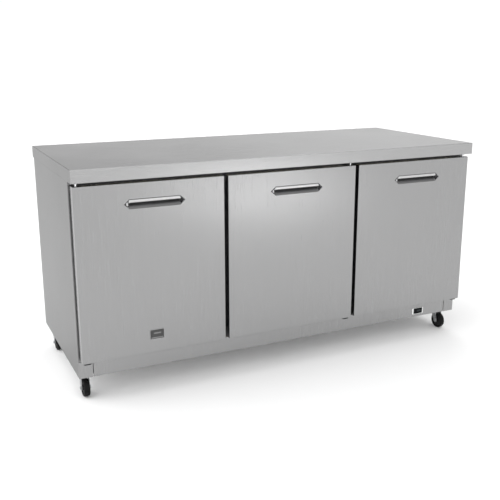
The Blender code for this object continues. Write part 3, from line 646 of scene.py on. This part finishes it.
def make_pilasters():
    """Folded strips on the inner walls and posts, each with the clip that carries a shelf."""
    wall_x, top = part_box("inner_liner")[1].x - 0.0012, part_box("inner_liner")[1].z - 0.02
    shelf_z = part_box("shelf_left")[0].z
    bottom, half, depth, sheet = 0.225, 0.009, 0.0045, 0.0012
    clip_half, clip_reach = 0.0055, 0.010
    strips, clips = bmesh.new(), bmesh.new()
    # The strip's section: (share of its half width, height off the wall)
    section = ((-1.5, 0), (-1, 0), (-1, depth), (1, depth), (1, 0), (1.5, 0), (1.5, sheet), (0.86, sheet),
               (0.86, depth - sheet), (-0.86, depth - sheet), (-0.86, sheet), (-1.5, sheet))
    places = [(sign * wall_x, -0.235, -sign, 0) for sign in SIGNS]
    for side in ("left", "right"):
        low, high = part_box(f"mullion_{side}")
        places += [(x, high.y + 0.0003, 0, 1) for x in (low.x + 0.012, high.x - 0.012)]
    for x, y, out_x, out_y in places:
        out = Vector((out_x, out_y, 0))
        along = out.cross(Vector((0, 0, 1))) * half
        loft(strips, [[Vector((x, y, z)) + along * share + out * height for share, height in section]
                      for z in (bottom, top)])
        root, tip = Vector((x, y, 0)) + out * depth, Vector((x, y, 0)) + out * (depth + clip_reach)
        aside = Vector((abs(out_y), abs(out_x), 0)) * clip_half
        low = Vector((min(root.x, tip.x), min(root.y, tip.y), shelf_z - 0.011)) - aside
        high = Vector((max(root.x, tip.x), max(root.y, tip.y), shelf_z - 0.0006)) + aside
        add_block(clips, low, high, 0.001)
    piece("shelf_pilasters", strips, "liner_metal")
    piece("shelf_clips", clips, "zinc_steel")


# ---- doors
# The pull's section, from its top edge over the visor, in behind it, down the pocket and out to
# the lower rim: (height as a share of half the pull's height, depth behind the door's face in mm)
PULL_VISOR = ((1.0, -0.1), (0.985, -0.5), (0.95, -0.7), (0.90, -0.8), (0.84, -1.5), (0.76, -1.95),
              (0.68, -2.15), (0.58, -2.2), (0.49, -2.1), (0.42, -1.8), (0.36, -1.35), (0.325, -0.8),
              (0.31, 0.0), (0.32, 0.9), (0.37, 1.8))
PULL_POCKET = ((0.44, 2.6), (0.66, 3.4), (0.72, 5.2), (0.72, 13.8), (0.66, 15.3), (0.50, 16.1),
               (0.20, 16.1), (0.05, 15.2), (-0.12, 13.0), (-0.34, 9.0), (-0.58, 5.0), (-0.80, 1.6),
               (-0.88, 0.3))
PULL_RIM = ((-0.91, -0.4), (-0.94, -0.5), (-0.97, -0.5), (-0.99, -0.4), (-1.0, -0.1))
PULL_BACK = ((-0.98, 0.0), (-0.895, 0.0), (-0.895, 17.6), (0.895, 17.6), (0.895, 0.0), (0.98, 0.0))
PULL_CHROME = range(3, 13)      # the section's faces that are the chrome visor
PIN_HOLE_R = 0.0043
PAINTED_HIGHLIGHT_SPAN = 3                    # the slope inside the left point, in the visor's chrome as a painted highlight


def hexagon(x, z, tip, shoulder, rise):
    """A pointed bar's outline, as (x, z)."""
    return [(x - tip, z), (x - shoulder, z - rise), (x + shoulder, z - rise),
            (x + tip, z), (x + shoulder, z + rise), (x - shoulder, z + rise)]


def tip_section():
    """The pull's section in its pointed ends: a plain sunken tray with as many points as the rest."""
    last = len(PULL_VISOR) + len(PULL_POCKET) - 1
    reach, rim, depth, slope = 1.88, -0.1, 6.1, 7
    tray = [(1 - reach * i / last, rim + depth * min(1.0, slope * min(i, last - i) / last))
            for i in range(last + 1)]
    return [*tray, *PULL_RIM, *PULL_BACK]


def make_pull(side):
    """The recessed pull: a pointed cup with a convex chrome visor over its upper half. The cup's darker metal is
    partly painted shade under the visor, its points are near black as painted shade, and one slope of the left
    point is chrome as a painted highlight.
    """
    low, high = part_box(f"handle_{side}")
    front, middle = low.y + 0.0013, (low + high) / 2
    half, tall = (high.x - low.x) / 2 - 0.0015, (high.z - low.z) / 2
    point_length, tip_length, nose = 0.0195, 0.0155, 0.0045
    section, tips = [*PULL_VISOR, *PULL_POCKET, *PULL_RIM, *PULL_BACK], tip_section()
    steps = [0.0002, 0.002, 0.004, 0.0075, tip_length]
    steps += [tip_length + nose * share for share in (0.04, 0.13, 0.28, 0.5, 0.75, 1.0)]
    steps += [0.0215, 0.030]
    rings, blends = [], []
    for u in [step - half for step in steps] + [half - step for step in steps[::-1]]:
        inside = half - abs(u)
        grow = tall * min(1.0, inside / point_length)
        sink = min(1.0, inside / tip_length)
        part = min(1.0, max(0.0, (inside - tip_length) / nose))
        blend = math.sqrt(1 - (1 - part) ** 2)
        ring = []
        for (share, depth), (tip_share, tip_depth) in zip(section, tips):
            y, z = between(tip_depth * sink, depth, blend) * MM, between(tip_share, share, blend) * grow
            ring.append(Vector((middle.x + u, front + y, middle.z + z)))
        rings.append(ring)
        blends.append(blend)
    mesh = mesh_of(loft(bmesh.new(), rings), f"pull_{side}")
    # Visor faces take chrome. In the points, one slope of the left point takes chrome as a painted highlight, and
    # the rest takes the near-black metal as painted shade.
    for face in mesh.polygons:
        span, place = divmod(face.index, len(section))
        in_tip = span >= len(rings) - 1 or blends[span] + blends[span + 1] == 0
        chrome_and_painted_highlight = span == PAINTED_HIGHLIGHT_SPAN if in_tip else place in PULL_CHROME
        face.material_index = 0 if chrome_and_painted_highlight else 2 if in_tip else 1
    finishes_with_painted_shade = ("visor_chrome", "pocket_metal", "painted_shade_tip_metal")
    piece(f"pull_{side}", mesh, finishes_with_painted_shade, [f"handle_{side}"], f"door_{side}", 30)

    shoulder, seal, proud = half - point_length, 0.0016, 0.0003
    inner = hexagon(middle.x, middle.z, half - 0.002, shoulder - 0.001, tall - 0.001)
    outer = hexagon(middle.x, middle.z, half + seal * 1.3, shoulder + seal * 0.5, tall + seal * 0.8)
    steps = ((outer, 0), (outer, proud), (inner, proud), (inner, 0), (outer, 0))
    rings = [upright(outline, front - rise) for outline, rise in steps]
    bm = loft(bmesh.new(), rings, caps=False)
    bmesh.ops.remove_doubles(bm, verts=bm.verts, dist=1e-6)
    piece(f"pull_seal_{side}", bm, "seal_rubber", body=f"door_{side}")


def make_door(side):
    """Door: outer skin with rounded folded edges, inner panel with its pressed field, and the gasket."""
    body = f"door_{side}"
    low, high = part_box(f"door_skin_{side}")
    handle_low, handle_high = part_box(f"handle_{side}")
    radius, sheet, hem, bend = 0.0036, 0.0010, 0.009, 0.0015
    rim = ((bend * 0.3, bend * 0.72), (bend, bend), (hem, bend))
    skin = folded_pan(low, high, 1, 1, radius, bend, rim, sheet)
    pull, half, tall = (handle_low + handle_high) / 2, *((handle_high - handle_low) / 2).xz
    recess = hexagon(pull.x, pull.z, half - 0.0036, half - 0.0220, tall - 0.0013)
    pin = JOINTS[f"door_{side}_hinge"]

    def cutters(pocket, reach):
        """The pull's pocket and the two pin holes, to their depths."""
        tools = [add_prism(bmesh.new(), recess, low.y - 0.01, low.y + pocket)]
        bore = [(PIN_HOLE_R, -reach), (PIN_HOLE_R, reach)]
        tools += [turned(bore, 20, (pin.x, pin.y, z)) for z in (low.z, high.z)]
        return [mesh_of(tool, "cutter") for tool in tools]

    piece(f"skin_{side}", carve(skin, *cutters(0.010, 0.004)), "stainless", [f"door_skin_{side}"], body)
    inset = sheet + 0.0003
    flat = high.y - sheet - 0.0004
    # The inside panel: (distance in from its edge, y, corner radius)
    fields = ((0.0, low.y + inset, 0.003), (0.0, flat, 0.003), (0.0345, flat, 0.012),
              (0.0375, high.y + 0.0002, 0.014), (0.0420, high.y + 0.0034, 0.018),
              (0.0475, high.y + 0.0045, 0.022), (0.0560, high.y + 0.0045, 0.026),
              (0.0600, high.y + 0.0036, 0.028), (0.0650, high.y + 0.0030, 0.030))
    rings = [inset_rect(low, high, inset + field, corner, y, 6) for field, y, corner in fields]
    panel = loft(bmesh.new(), rings)
    panel = carve(mesh_of(panel, "panel"), *cutters(0.0185, 0.013))
    piece(f"inner_panel_{side}", panel, "door_core", [f"door_core_{side}"], body)
    make_gasket(side, body)


def make_gasket(side, body):
    """A door gasket: a mitred frame of magnetic bellows section."""
    low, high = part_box(f"door_gasket_{side}")
    depth, width = high.y - low.y, 0.014
    section = ((0.00, 0.00), (0.00, 0.12), (0.10, 0.22), (0.14, 0.34), (0.07, 0.48), (0.05, 0.66),
               (0.12, 0.86), (0.24, 0.985), (0.66, 1.0), (0.82, 0.93), (0.88, 0.74), (0.83, 0.56),
               (0.74, 0.42), (0.76, 0.28), (0.97, 0.16), (1.00, 0.0))
    rings = []
    for inward, back in section:
        x0, x1, z0, z1 = (low.x + inward * width, high.x - inward * width, low.z + inward * width,
                          high.z - inward * width)
        rings.append(upright(((x0, z0), (x1, z0), (x1, z1), (x0, z1)), low.y + back * depth))
    bm = loft(bmesh.new(), rings + [rings[0]], caps=False)
    bmesh.ops.remove_doubles(bm, verts=bm.verts, dist=1e-6)
    piece(f"gasket_{side}", bm, "gasket_rubber", [f"door_gasket_{side}"], body, 50)


def make_badge():
    """A blank plate: a raised rim round a dark field, with two plain bars on it."""
    low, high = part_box("badge_plate")
    front, middle, half = low.y, (low + high) / 2, (high - low) / 2
    rim = 0.0026
    levels = ((0.0, high.y), (0.0, front + 0.0004), (0.0004, front), (0.0018, front),
              (0.0024, front + 0.0005), (0.0030, front + 0.0005))
    rings = [inset_rect(low, high, inset, 0.0035 - inset * 0.6, y) for inset, y in levels]
    mesh = mesh_of(loft(bmesh.new(), rings), "badge")
    for face in mesh.polygons:
        off = face.center - middle
        inside = abs(off.x) < half.x - rim and abs(off.z) < half.z - rim
        face.material_index = 1 if face.normal.y < -0.5 and inside else 0
    piece("badge", mesh, ("badge_rim", "badge_field"), ["badge_plate"], "door_left")
    bars = bmesh.new()
    upper = round_rect(middle.x - 0.014, middle.x + 0.016, middle.z + 0.0020, middle.z + 0.0075, 0.002)
    lower = round_rect(low.x + 0.006, high.x - 0.006, low.z + 0.0055, low.z + 0.0095, 0.001)
    add_prism(bars, upper, front + 0.0001, front + 0.0006)
    add_prism(bars, lower, front + 0.0002, front + 0.0006)
    piece("badge_bars", bars, "badge_bar", body="door_left")


def make_hinge(side, place):
    """A hinge plate with rounded corners, and its fixed pin with a washer."""
    low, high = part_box(f"hinge_{place}_{side}")
    pin, at_top = JOINTS[f"door_{side}_hinge"], place == "top"
    thickness, corner, ease, pin_r = 0.003, 0.008, 0.0006, 0.0038
    z0, z1 = (high.z - thickness, high.z) if at_top else (low.z, low.z + thickness)
    centre = ((low + high) / 2).xy.to_3d()
    outline = [Vector((x, y, 0)) for x, y in round_rect(low.x, high.x, low.y, high.y, corner, 5)]
    rings = [[point + (centre - point).normalized() * inset + Vector((0, 0, z)) for point in outline]
             for inset, z in ((ease, z0), (0.0, z0 + 0.0005), (0.0, z1 - 0.0005), (ease, z1))]
    piece(f"hinge_plate_{place}_{side}", loft(bmesh.new(), rings), "hinge_black", [f"hinge_{place}_{side}"])
    root, end = (z0, low.z) if at_top else (z1, high.z)
    length = abs(end - root)
    at, axis = (pin.x, pin.y, root), (0, 0, math.copysign(1, end - root))
    shaft = turned([(pin_r, 0.0), (pin_r, length - 0.0008), (0.0030, length)], 20, at, axis)
    washer = [(0.0062, 0.0), (0.0066, 0.0004), (0.0066, 0.0018), (0.0060, 0.0023), (0.0040, 0.0023)]
    add_turned(shaft, washer, 20, at, axis)
    piece(f"hinge_pin_{place}_{side}", shaft, "bright_metal")


# ---- casters
# Washer, nut and bolt end on each side of a fork: (profile, sides)
AXLE_NUT = (([(0.0072, 0.0), (0.0072, 0.0009), (0.0060, 0.0010)], 20),
            ([(0.0062, 0.0008), (0.0066, 0.0014), (0.0066, 0.0028), (0.0058, 0.0034)], 6),
            ([(0.0034, 0.0030), (0.0034, 0.0042), (0.0028, 0.0047)], 14))


def make_caster(name):
    """A swivel caster: pressed fork on its crown, bolt through the hub, and the wheel."""
    top, hub = JOINTS[f"caster_{name}_swivel"], JOINTS[f"wheel_{name}_roll"]
    fork_body, wheel_body = f"caster_{name}", f"wheel_{name}"
    leg_in, leg_t, foot, ease, crown_z = 0.0150, 0.0025, 0.011, 0.0005, 0.0925
    race = [(0.0268, 0.0), (0.0272, -0.0012), (0.0262, -0.0032), (0.0235, -0.0048), (0.0200, -0.0056)]
    bm = turned(race, 32, top)
    arc = [math.radians(180 + 22.5 * i) for i in range(9)]
    outline = [(top.y - 0.0205, crown_z), (top.y - 0.0215, crown_z - 0.006)]
    outline += [(hub.y + foot * math.cos(a), hub.z + foot * math.sin(a)) for a in arc]
    crown = ((0.0120, -0.012), (0.0140, -0.003), (0.0135, 0))
    outline += [(top.y + y, crown_z + z) for y, z in crown]
    middle_z, reach = 0.06, 0.02
    for sign in SIGNS:
        rings = []
        for out, inset in ((0.0, ease), (ease, 0.0), (leg_t - ease, 0.0), (leg_t, ease)):
            x, shrink = top.x + sign * (leg_in + out), 1 - inset / reach
            spots = ((between(top.y, y, shrink), between(middle_z, z, shrink)) for y, z in outline)
            rings.append([Vector((x, *spot)) for spot in spots])
        loft(bm, rings)
    add_block(bm, (top.x - leg_in - leg_t, top.y - 0.0200, crown_z - 0.0022),
              (top.x + leg_in + leg_t, top.y + 0.0135, crown_z + 0.0006), 0.0008)
    piece(f"fork_{name}", bm, "zinc_steel", [f"caster_fork_{name}"], fork_body)

    bolt = bmesh.new()
    for sign in SIGNS:
        for profile, sides in AXLE_NUT:
            add_turned(bolt, profile, sides, hub + Vector((sign * 0.0177, 0, 0)), (sign, 0, 0))
    add_turned(bolt, [(0.0038, -0.0178), (0.0038, 0.0178)], 14, hub, (1, 0, 0))
    piece(f"axle_{name}", bolt, "zinc_steel", [f"caster_axle_{name}"], fork_body)

    radius, half, core = hub.z, 0.0123, 0.0255
    near = [(0.0045, 0.0140), (0.0092, 0.0140), (0.0104, 0.0132), (0.0108, 0.0098), (0.0125, 0.0086),
            (0.0235, 0.0078), (0.0252, 0.0088), (0.0262, 0.0112), (0.0290, half), (radius - 0.0042, half),
            (radius - 0.0016, half - 0.0016), (radius - 0.0003, half - 0.0042), (radius, half - 0.0075)]
    profile = near + [(r, -height) for r, height in near[::-1]] + near[:1]
    tread = turned(profile, 64, hub, (1, 0, 0))
    bmesh.ops.remove_doubles(tread, verts=tread.verts, dist=1e-7)
    mesh = mesh_of(tread, "wheel")
    for face in mesh.polygons:
        face.material_index = 1 if (face.center - hub).yz.length < core else 0
    piece(f"wheel_{name}", mesh, ("wheel_rubber", "wheel_core"), [f"caster_wheel_{name}"], wheel_body)


def make_caster_bolts():
    """Four bolts through each caster plate."""
    bolts, plate_z = bmesh.new(), 0.1010
    head = [(0.0062, -0.0003), (0.0066, 0.0004), (0.0066, 0.0030), (0.0058, 0.0038)]
    for name in CASTERS:
        x, y = JOINTS[f"caster_{name}_swivel"].xy
        for sx, sy in QUARTERS:
            add_turned(bolts, head, 6, (x + sx * 0.0235, y + sy * 0.0385, plate_z), (0, 0, -1))
    piece("caster_bolts", bolts, "zinc_steel")


# ---- cold side and machine space
def make_fan(place, blades=5):
    """A fan with curved, twisted blades round a domed hub."""
    low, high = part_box(f"{place}_fan")
    centre = JOINTS[f"{place}_fan_spin"]
    radius, depth = (high.x - low.x) / 2 * 0.955, (high.y - low.y) / 2
    hub, sheet, limit = 0.27 * radius, Vector((0, 0.0006, 0)), depth - 0.0008
    cap = [(hub, -depth), (hub, depth * 0.6), (hub * 0.86, depth * 0.92), (hub * 0.5, depth)]
    bm = turned(cap, 28, centre, (0, -1, 0))
    for blade in range(blades):
        rings = []
        for share in (step / 6 for step in range(7)):
            r = between(hub * 0.9, radius, share)
            chord = 0.62 + 0.16 * math.sin(math.pi * share)
            pitch = math.radians(38 - 18 * share)
            base = math.tau * blade / blades + 0.22 * share
            line = []
            for t in (k / 5 - 0.5 for k in range(6)):
                angle = base + chord * t
                y = -t * math.sin(pitch) * depth * 2.6 - 0.10 * depth * (1 - 4 * t * t)
                y = max(-limit, min(limit, y))
                line.append(centre + Vector((r * math.sin(angle), y, r * math.cos(angle))))
            rings.append([spot - sheet for spot in line] + [spot + sheet for spot in line[::-1]])
        loft(bm, rings)
    piece(f"{place}_fan_blades", bm, "dark_plastic", [f"{place}_fan"], f"{place}_rotor", 50)


def make_coil(node, fins, tube_rows):
    """Thin fins on copper tubes, between two end plates, with the return bends outside."""
    low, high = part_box(node)
    plates, tubes = bmesh.new(), bmesh.new()
    inset, fin, end_plate, past, radius, sides = 0.010, 0.0003, 0.0015, 0.004, 0.0035, 8
    for i in range(fins):
        x = between(low.x + inset, high.x - inset, i / (fins - 1))
        add_block(plates, (x - fin, low.y + 0.001, low.z), (x + fin, high.y - 0.001, high.z))
    for x in (low.x, high.x - end_plate):
        add_block(plates, (x, low.y, low.z), (x + end_plate, high.y, high.z))
    y0, y1 = (between(low.y, high.y, share) for share in (0.28, 0.72))
    levels = [between(low.z, high.z, (row + 0.5) / tube_rows) for row in range(tube_rows)]
    for z in levels:
        for y in (y0, y1):
            add_tube(tubes, [(low.x - past, y, z), (high.x + past, y, z)], radius, sides)
    turn = (y1 - y0) / 2
    for z in levels:
        for end, sign in ((low.x - past, -1), (high.x + past, 1)):
            bend = [(end + sign * math.sin(a) * turn, y0 + turn - math.cos(a) * turn, z)
                    for a in (math.pi * k / 8 for k in range(9))]
            add_tube(tubes, bend, radius, sides)
    piece(f"{node}_fins", plates, "fin_aluminium", [node])
    piece(f"{node}_tubes", tubes, "copper")


def make_fan_guard():
    """The wire guard on the evaporator housing's fan window, and the housing's screws."""
    low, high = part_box("evaporator_housing")
    middle, fan = (low + high) / 2, JOINTS["evaporator_fan_spin"]
    bow, y = 0.004, low.y - 0.004
    bm, screws = bmesh.new(), bmesh.new()

    def spot(radius, angle, depth):
        return (fan.x + radius * math.cos(angle), depth, fan.z + radius * math.sin(angle))

    for radius in (0.014, 0.026, 0.038, 0.050, 0.062, 0.072):
        depth = y - bow * (1 - (radius / 0.072) ** 2)
        add_tube(bm, [spot(radius, math.tau * k / 40, depth) for k in range(41)], 0.0009, 6)
    for angle in (math.pi / 4 + math.pi / 2 * k for k in range(4)):
        reaches = (0.0, 0.02, 0.04, 0.06, 0.076)
        spoke = [spot(r, angle, y + 0.0012 - bow * (1 - (r / 0.076) ** 2)) for r in reaches]
        add_tube(bm, [*spoke, spot(0.079, angle, low.y - 0.0012)], 0.0013, 6)
    piece("fan_guard", bm, "bright_wire")
    for sx, sz in QUARTERS:
        add_screw(screws, (middle.x + sx * 0.245, low.y, middle.z + sz * 0.088), (0, -1, 0), 0.0034)
    piece("housing_screws", screws, "zinc_steel")


# The compressor's shell, with its weld band: (radius, height)
SHELL = [(0.030, 0.0080), (0.052, 0.0110), (0.063, 0.0200), (0.0675, 0.0340), (0.0695, 0.0900),
         (0.0712, 0.0930), (0.0712, 0.0990), (0.0695, 0.1010), (0.0680, 0.1400), (0.0630, 0.1610),
         (0.0520, 0.1740), (0.0350, 0.1815), (0.0150, 0.1845)]
SHELL_FOOT = [(0.009, 0.0), (0.0095, 0.0015), (0.0075, 0.0035), (0.0095, 0.0070), (0.0090, 0.0100),
              (0.0040, 0.0105), (0.0040, 0.0130)]
DRIER = [(0.0035, -0.045), (0.0040, -0.038), (0.0095, -0.030),
         (0.0095, 0.030), (0.0040, 0.038), (0.0035, 0.045)]


def make_compressor():
    """A sealed compressor: shell, base plate, terminal box and feet, and the copper lines."""
    low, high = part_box("compressor")
    centre = Vector(((low.x + high.x) / 2, (low.y + high.y) / 2, low.z))

    def at(x, y, z):
        return centre + Vector((x, y, z))

    bm = turned(SHELL, 48, centre)
    add_block(bm, at(-0.084, -0.0735, 0.0035), at(0.084, 0.0735, 0.0065), 0.001)
    add_block(bm, at(-0.025, -0.0850, 0.055), at(0.025, -0.0640, 0.115), 0.004, 3)
    piece("compressor_shell", bm, "black_enamel", ["compressor"])
    feet, tubes = bmesh.new(), bmesh.new()
    for sx, sy in QUARTERS:
        add_turned(feet, SHELL_FOOT, 18, at(sx * 0.070, sy * 0.060, 0), (0, 0, 1))
    piece("compressor_feet", feet, "gasket_rubber")

    coil_low, coil_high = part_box("condenser_coil")
    inlet = coil_high + Vector((0.004, -0.030, -0.030))
    add_tube(tubes, smooth_path([at(-0.040, 0.030, 0.168), at(-0.080, 0.040, 0.170), at(-0.120, 0.060, 0.160),
                                 inlet + Vector((0.014, 0, 0)), inlet]), 0.0032, 8)
    add_tube(tubes, smooth_path([at(0.045, 0.010, 0.160), at(0.062, 0.015, 0.185), at(0.060, -0.020, 0.220),
                                 at(0.020, -0.060, 0.235), at(0.020, -0.075, 0.250)]), 0.0048, 8)
    piece("refrigerant_tubes", tubes, "copper")
    drier_at = (coil_high.x + 0.020, coil_high.y - 0.060, coil_low.z + 0.060)
    piece("filter_drier", turned(DRIER, 18, drier_at), "copper")


def make_object():
    make_worktop()
    for side, sign in (("left", -1), ("right", 1)):
        make_side_panel(side, sign)
    make_rear_cover()
    make_power_inlet()
    make_kick_panel()
    make_controller()
    for section in SECTIONS:
        make_door(section)
        make_pull(section)
        for place in ("top", "bottom"):
            make_hinge(section, place)
    make_badge()
    for name in CASTERS:
        make_caster(name)
    make_caster_bolts()
    make_pilasters()
    for section in SECTIONS:
        make_shelf(section)
    make_coil("evaporator_coil", 70, 5)
    make_coil("condenser_coil", 60, 7)
    make_fan("evaporator")
    make_fan("condenser")
    make_fan_guard()
    make_compressor()


# ---- studio
def make_camera():
    data = bpy.data.cameras.new("camera")
    data.sensor_width = 36.0
    data.lens = 53.45
    data.shift_x = -0.0083
    data.shift_y = -0.0213
    camera = add_object("camera", data)
    camera.location = (-1.4538, -2.9981, 1.3396)
    yaw, pitch = 0.4492, 0.2509
    ahead = Vector((math.sin(yaw) * math.cos(pitch), math.cos(yaw) * math.cos(pitch), -math.sin(pitch)))
    camera.rotation_euler = ahead.to_track_quat("-Z", "Y").to_euler()
    bpy.context.scene.camera = camera


def make_floor():
    bm = bmesh.new()
    bmesh.ops.create_grid(bm, x_segments=2, y_segments=2, size=30.0)
    mesh = bpy.data.meshes.new("floor")
    bm.to_mesh(mesh)
    bm.free()
    floor = add_object("floor", mesh)
    mat, _, shader = new_tree("floor")
    shader.inputs["Base Color"].default_value = (0.90, 0.90, 0.90, 1)
    shader.inputs["Roughness"].default_value = 0.9
    shader.inputs["Specular IOR Level"].default_value = 0.0
    mesh.materials.append(mat)


def area_light(name, location, target, size, power):
    data = bpy.data.lights.new(name, "AREA")
    data.shape = "RECTANGLE"
    data.size, data.size_y = size
    data.energy = power
    light = add_object(name, data)
    light.location = location
    light.rotation_euler = (Vector(target) - Vector(location)).to_track_quat("-Z", "Y").to_euler()


def floor_spot(name, location, degrees, power):
    """A soft spot straight down on the floor, which the doors then mirror."""
    data = bpy.data.lights.new(name, "SPOT")
    data.energy = power
    data.spot_size = math.radians(degrees)
    data.spot_blend = 1.0
    data.shadow_soft_size = 0.3
    light = add_object(name, data)
    light.location = location


# The studio's brightness round the object: (degrees from +Y towards +X, level)
LOW_BAND = ((0, 1.0), (45, 1.15), (90, 0.05), (135, 1.4), (180, 1.7), (225, 1.7), (270, 1.6), (315, 1.35))
MIDDLE_BAND = ((0, 0.05), (45, 0.55), (90, 0.05), (135, 1.1), (180, 1.6), (225, 1.75), (270, 1.7), (315, 1.4))
DOME = ((0, 1.0), (45, 0.8), (90, 0.6), (135, 1.0), (180, 1.4), (225, 1.7), (270, 1.9), (315, 1.8))
ZENITH = 1.7
BAND_HEIGHTS = (4.0, 20.0, 42.0, 78.0)         # degrees above the horizon


def make_world():
    """A soft studio of three bands of light round the object and a zenith."""
    world = bpy.data.worlds.new("studio")
    world.use_nodes = True
    bpy.context.scene.world = world
    tree = world.node_tree

    def ring(levels):
        """A smooth ring of light, from its levels at even steps of azimuth."""
        ramp = tree.nodes.new("ShaderNodeValToRGB")
        elements = ramp.color_ramp.elements
        stops = [*levels, (360, levels[0][1])]
        top = max(level for _, level in stops)
        while len(elements) < len(stops):
            elements.new(0.5)
        for element, (degrees, level) in zip(elements, stops):
            element.position = degrees / 360
            element.color = (level / top, level / top, level / top, 1)
        link(tree, around, ramp.inputs["Fac"])
        return maths(tree, "MULTIPLY", ramp.outputs["Color"], top)

    coords = tree.nodes.new("ShaderNodeTexCoord")
    split = tree.nodes.new("ShaderNodeSeparateXYZ")
    link(tree, coords.outputs["Generated"], split.inputs["Vector"])
    turn = maths(tree, "ARCTAN2", split.outputs["X"], split.outputs["Y"])
    around = maths(tree, "FRACT", maths(tree, "ADD", maths(tree, "DIVIDE", turn, math.tau), 1.0))
    height = maths(tree, "ARCSINE", split.outputs["Z"])
    value = ring(LOW_BAND)
    layers = [ring(MIDDLE_BAND), ring(DOME), ZENITH]
    for low, high, layer in zip(BAND_HEIGHTS, BAND_HEIGHTS[1:], layers):
        blend = tree.nodes.new("ShaderNodeMapRange")
        blend.inputs["From Min"].default_value = math.radians(low)
        blend.inputs["From Max"].default_value = math.radians(high)
        link(tree, height, blend.inputs["Value"])
        share = blend.outputs["Result"]
        value = maths(tree, "ADD", maths(tree, "MULTIPLY", value, maths(tree, "SUBTRACT", 1.0, share)),
                      maths(tree, "MULTIPLY", layer, share))
    background = tree.nodes["Background"]
    link(tree, value, background.inputs["Color"])
    background.inputs["Strength"].default_value = 1.0


def make_studio():
    make_camera()
    make_floor()
    make_world()
    area_light("left_softbox", (-3.2, 0.0, 2.6), (0.0, 0.0, 0.4), (1.5, 2.5), 15)
    area_light("back_softbox", (1.8, 1.8, 3.2), (0.0, 0.0, 0.0), (2.0, 2.0), 18)
    floor_spot("floor_pool", (1.6, -4.2, 3.0), 43, 1110)
    bpy.context.scene.view_settings.view_transform = "Standard"


dress_cad_nodes()
make_object()
make_studio()
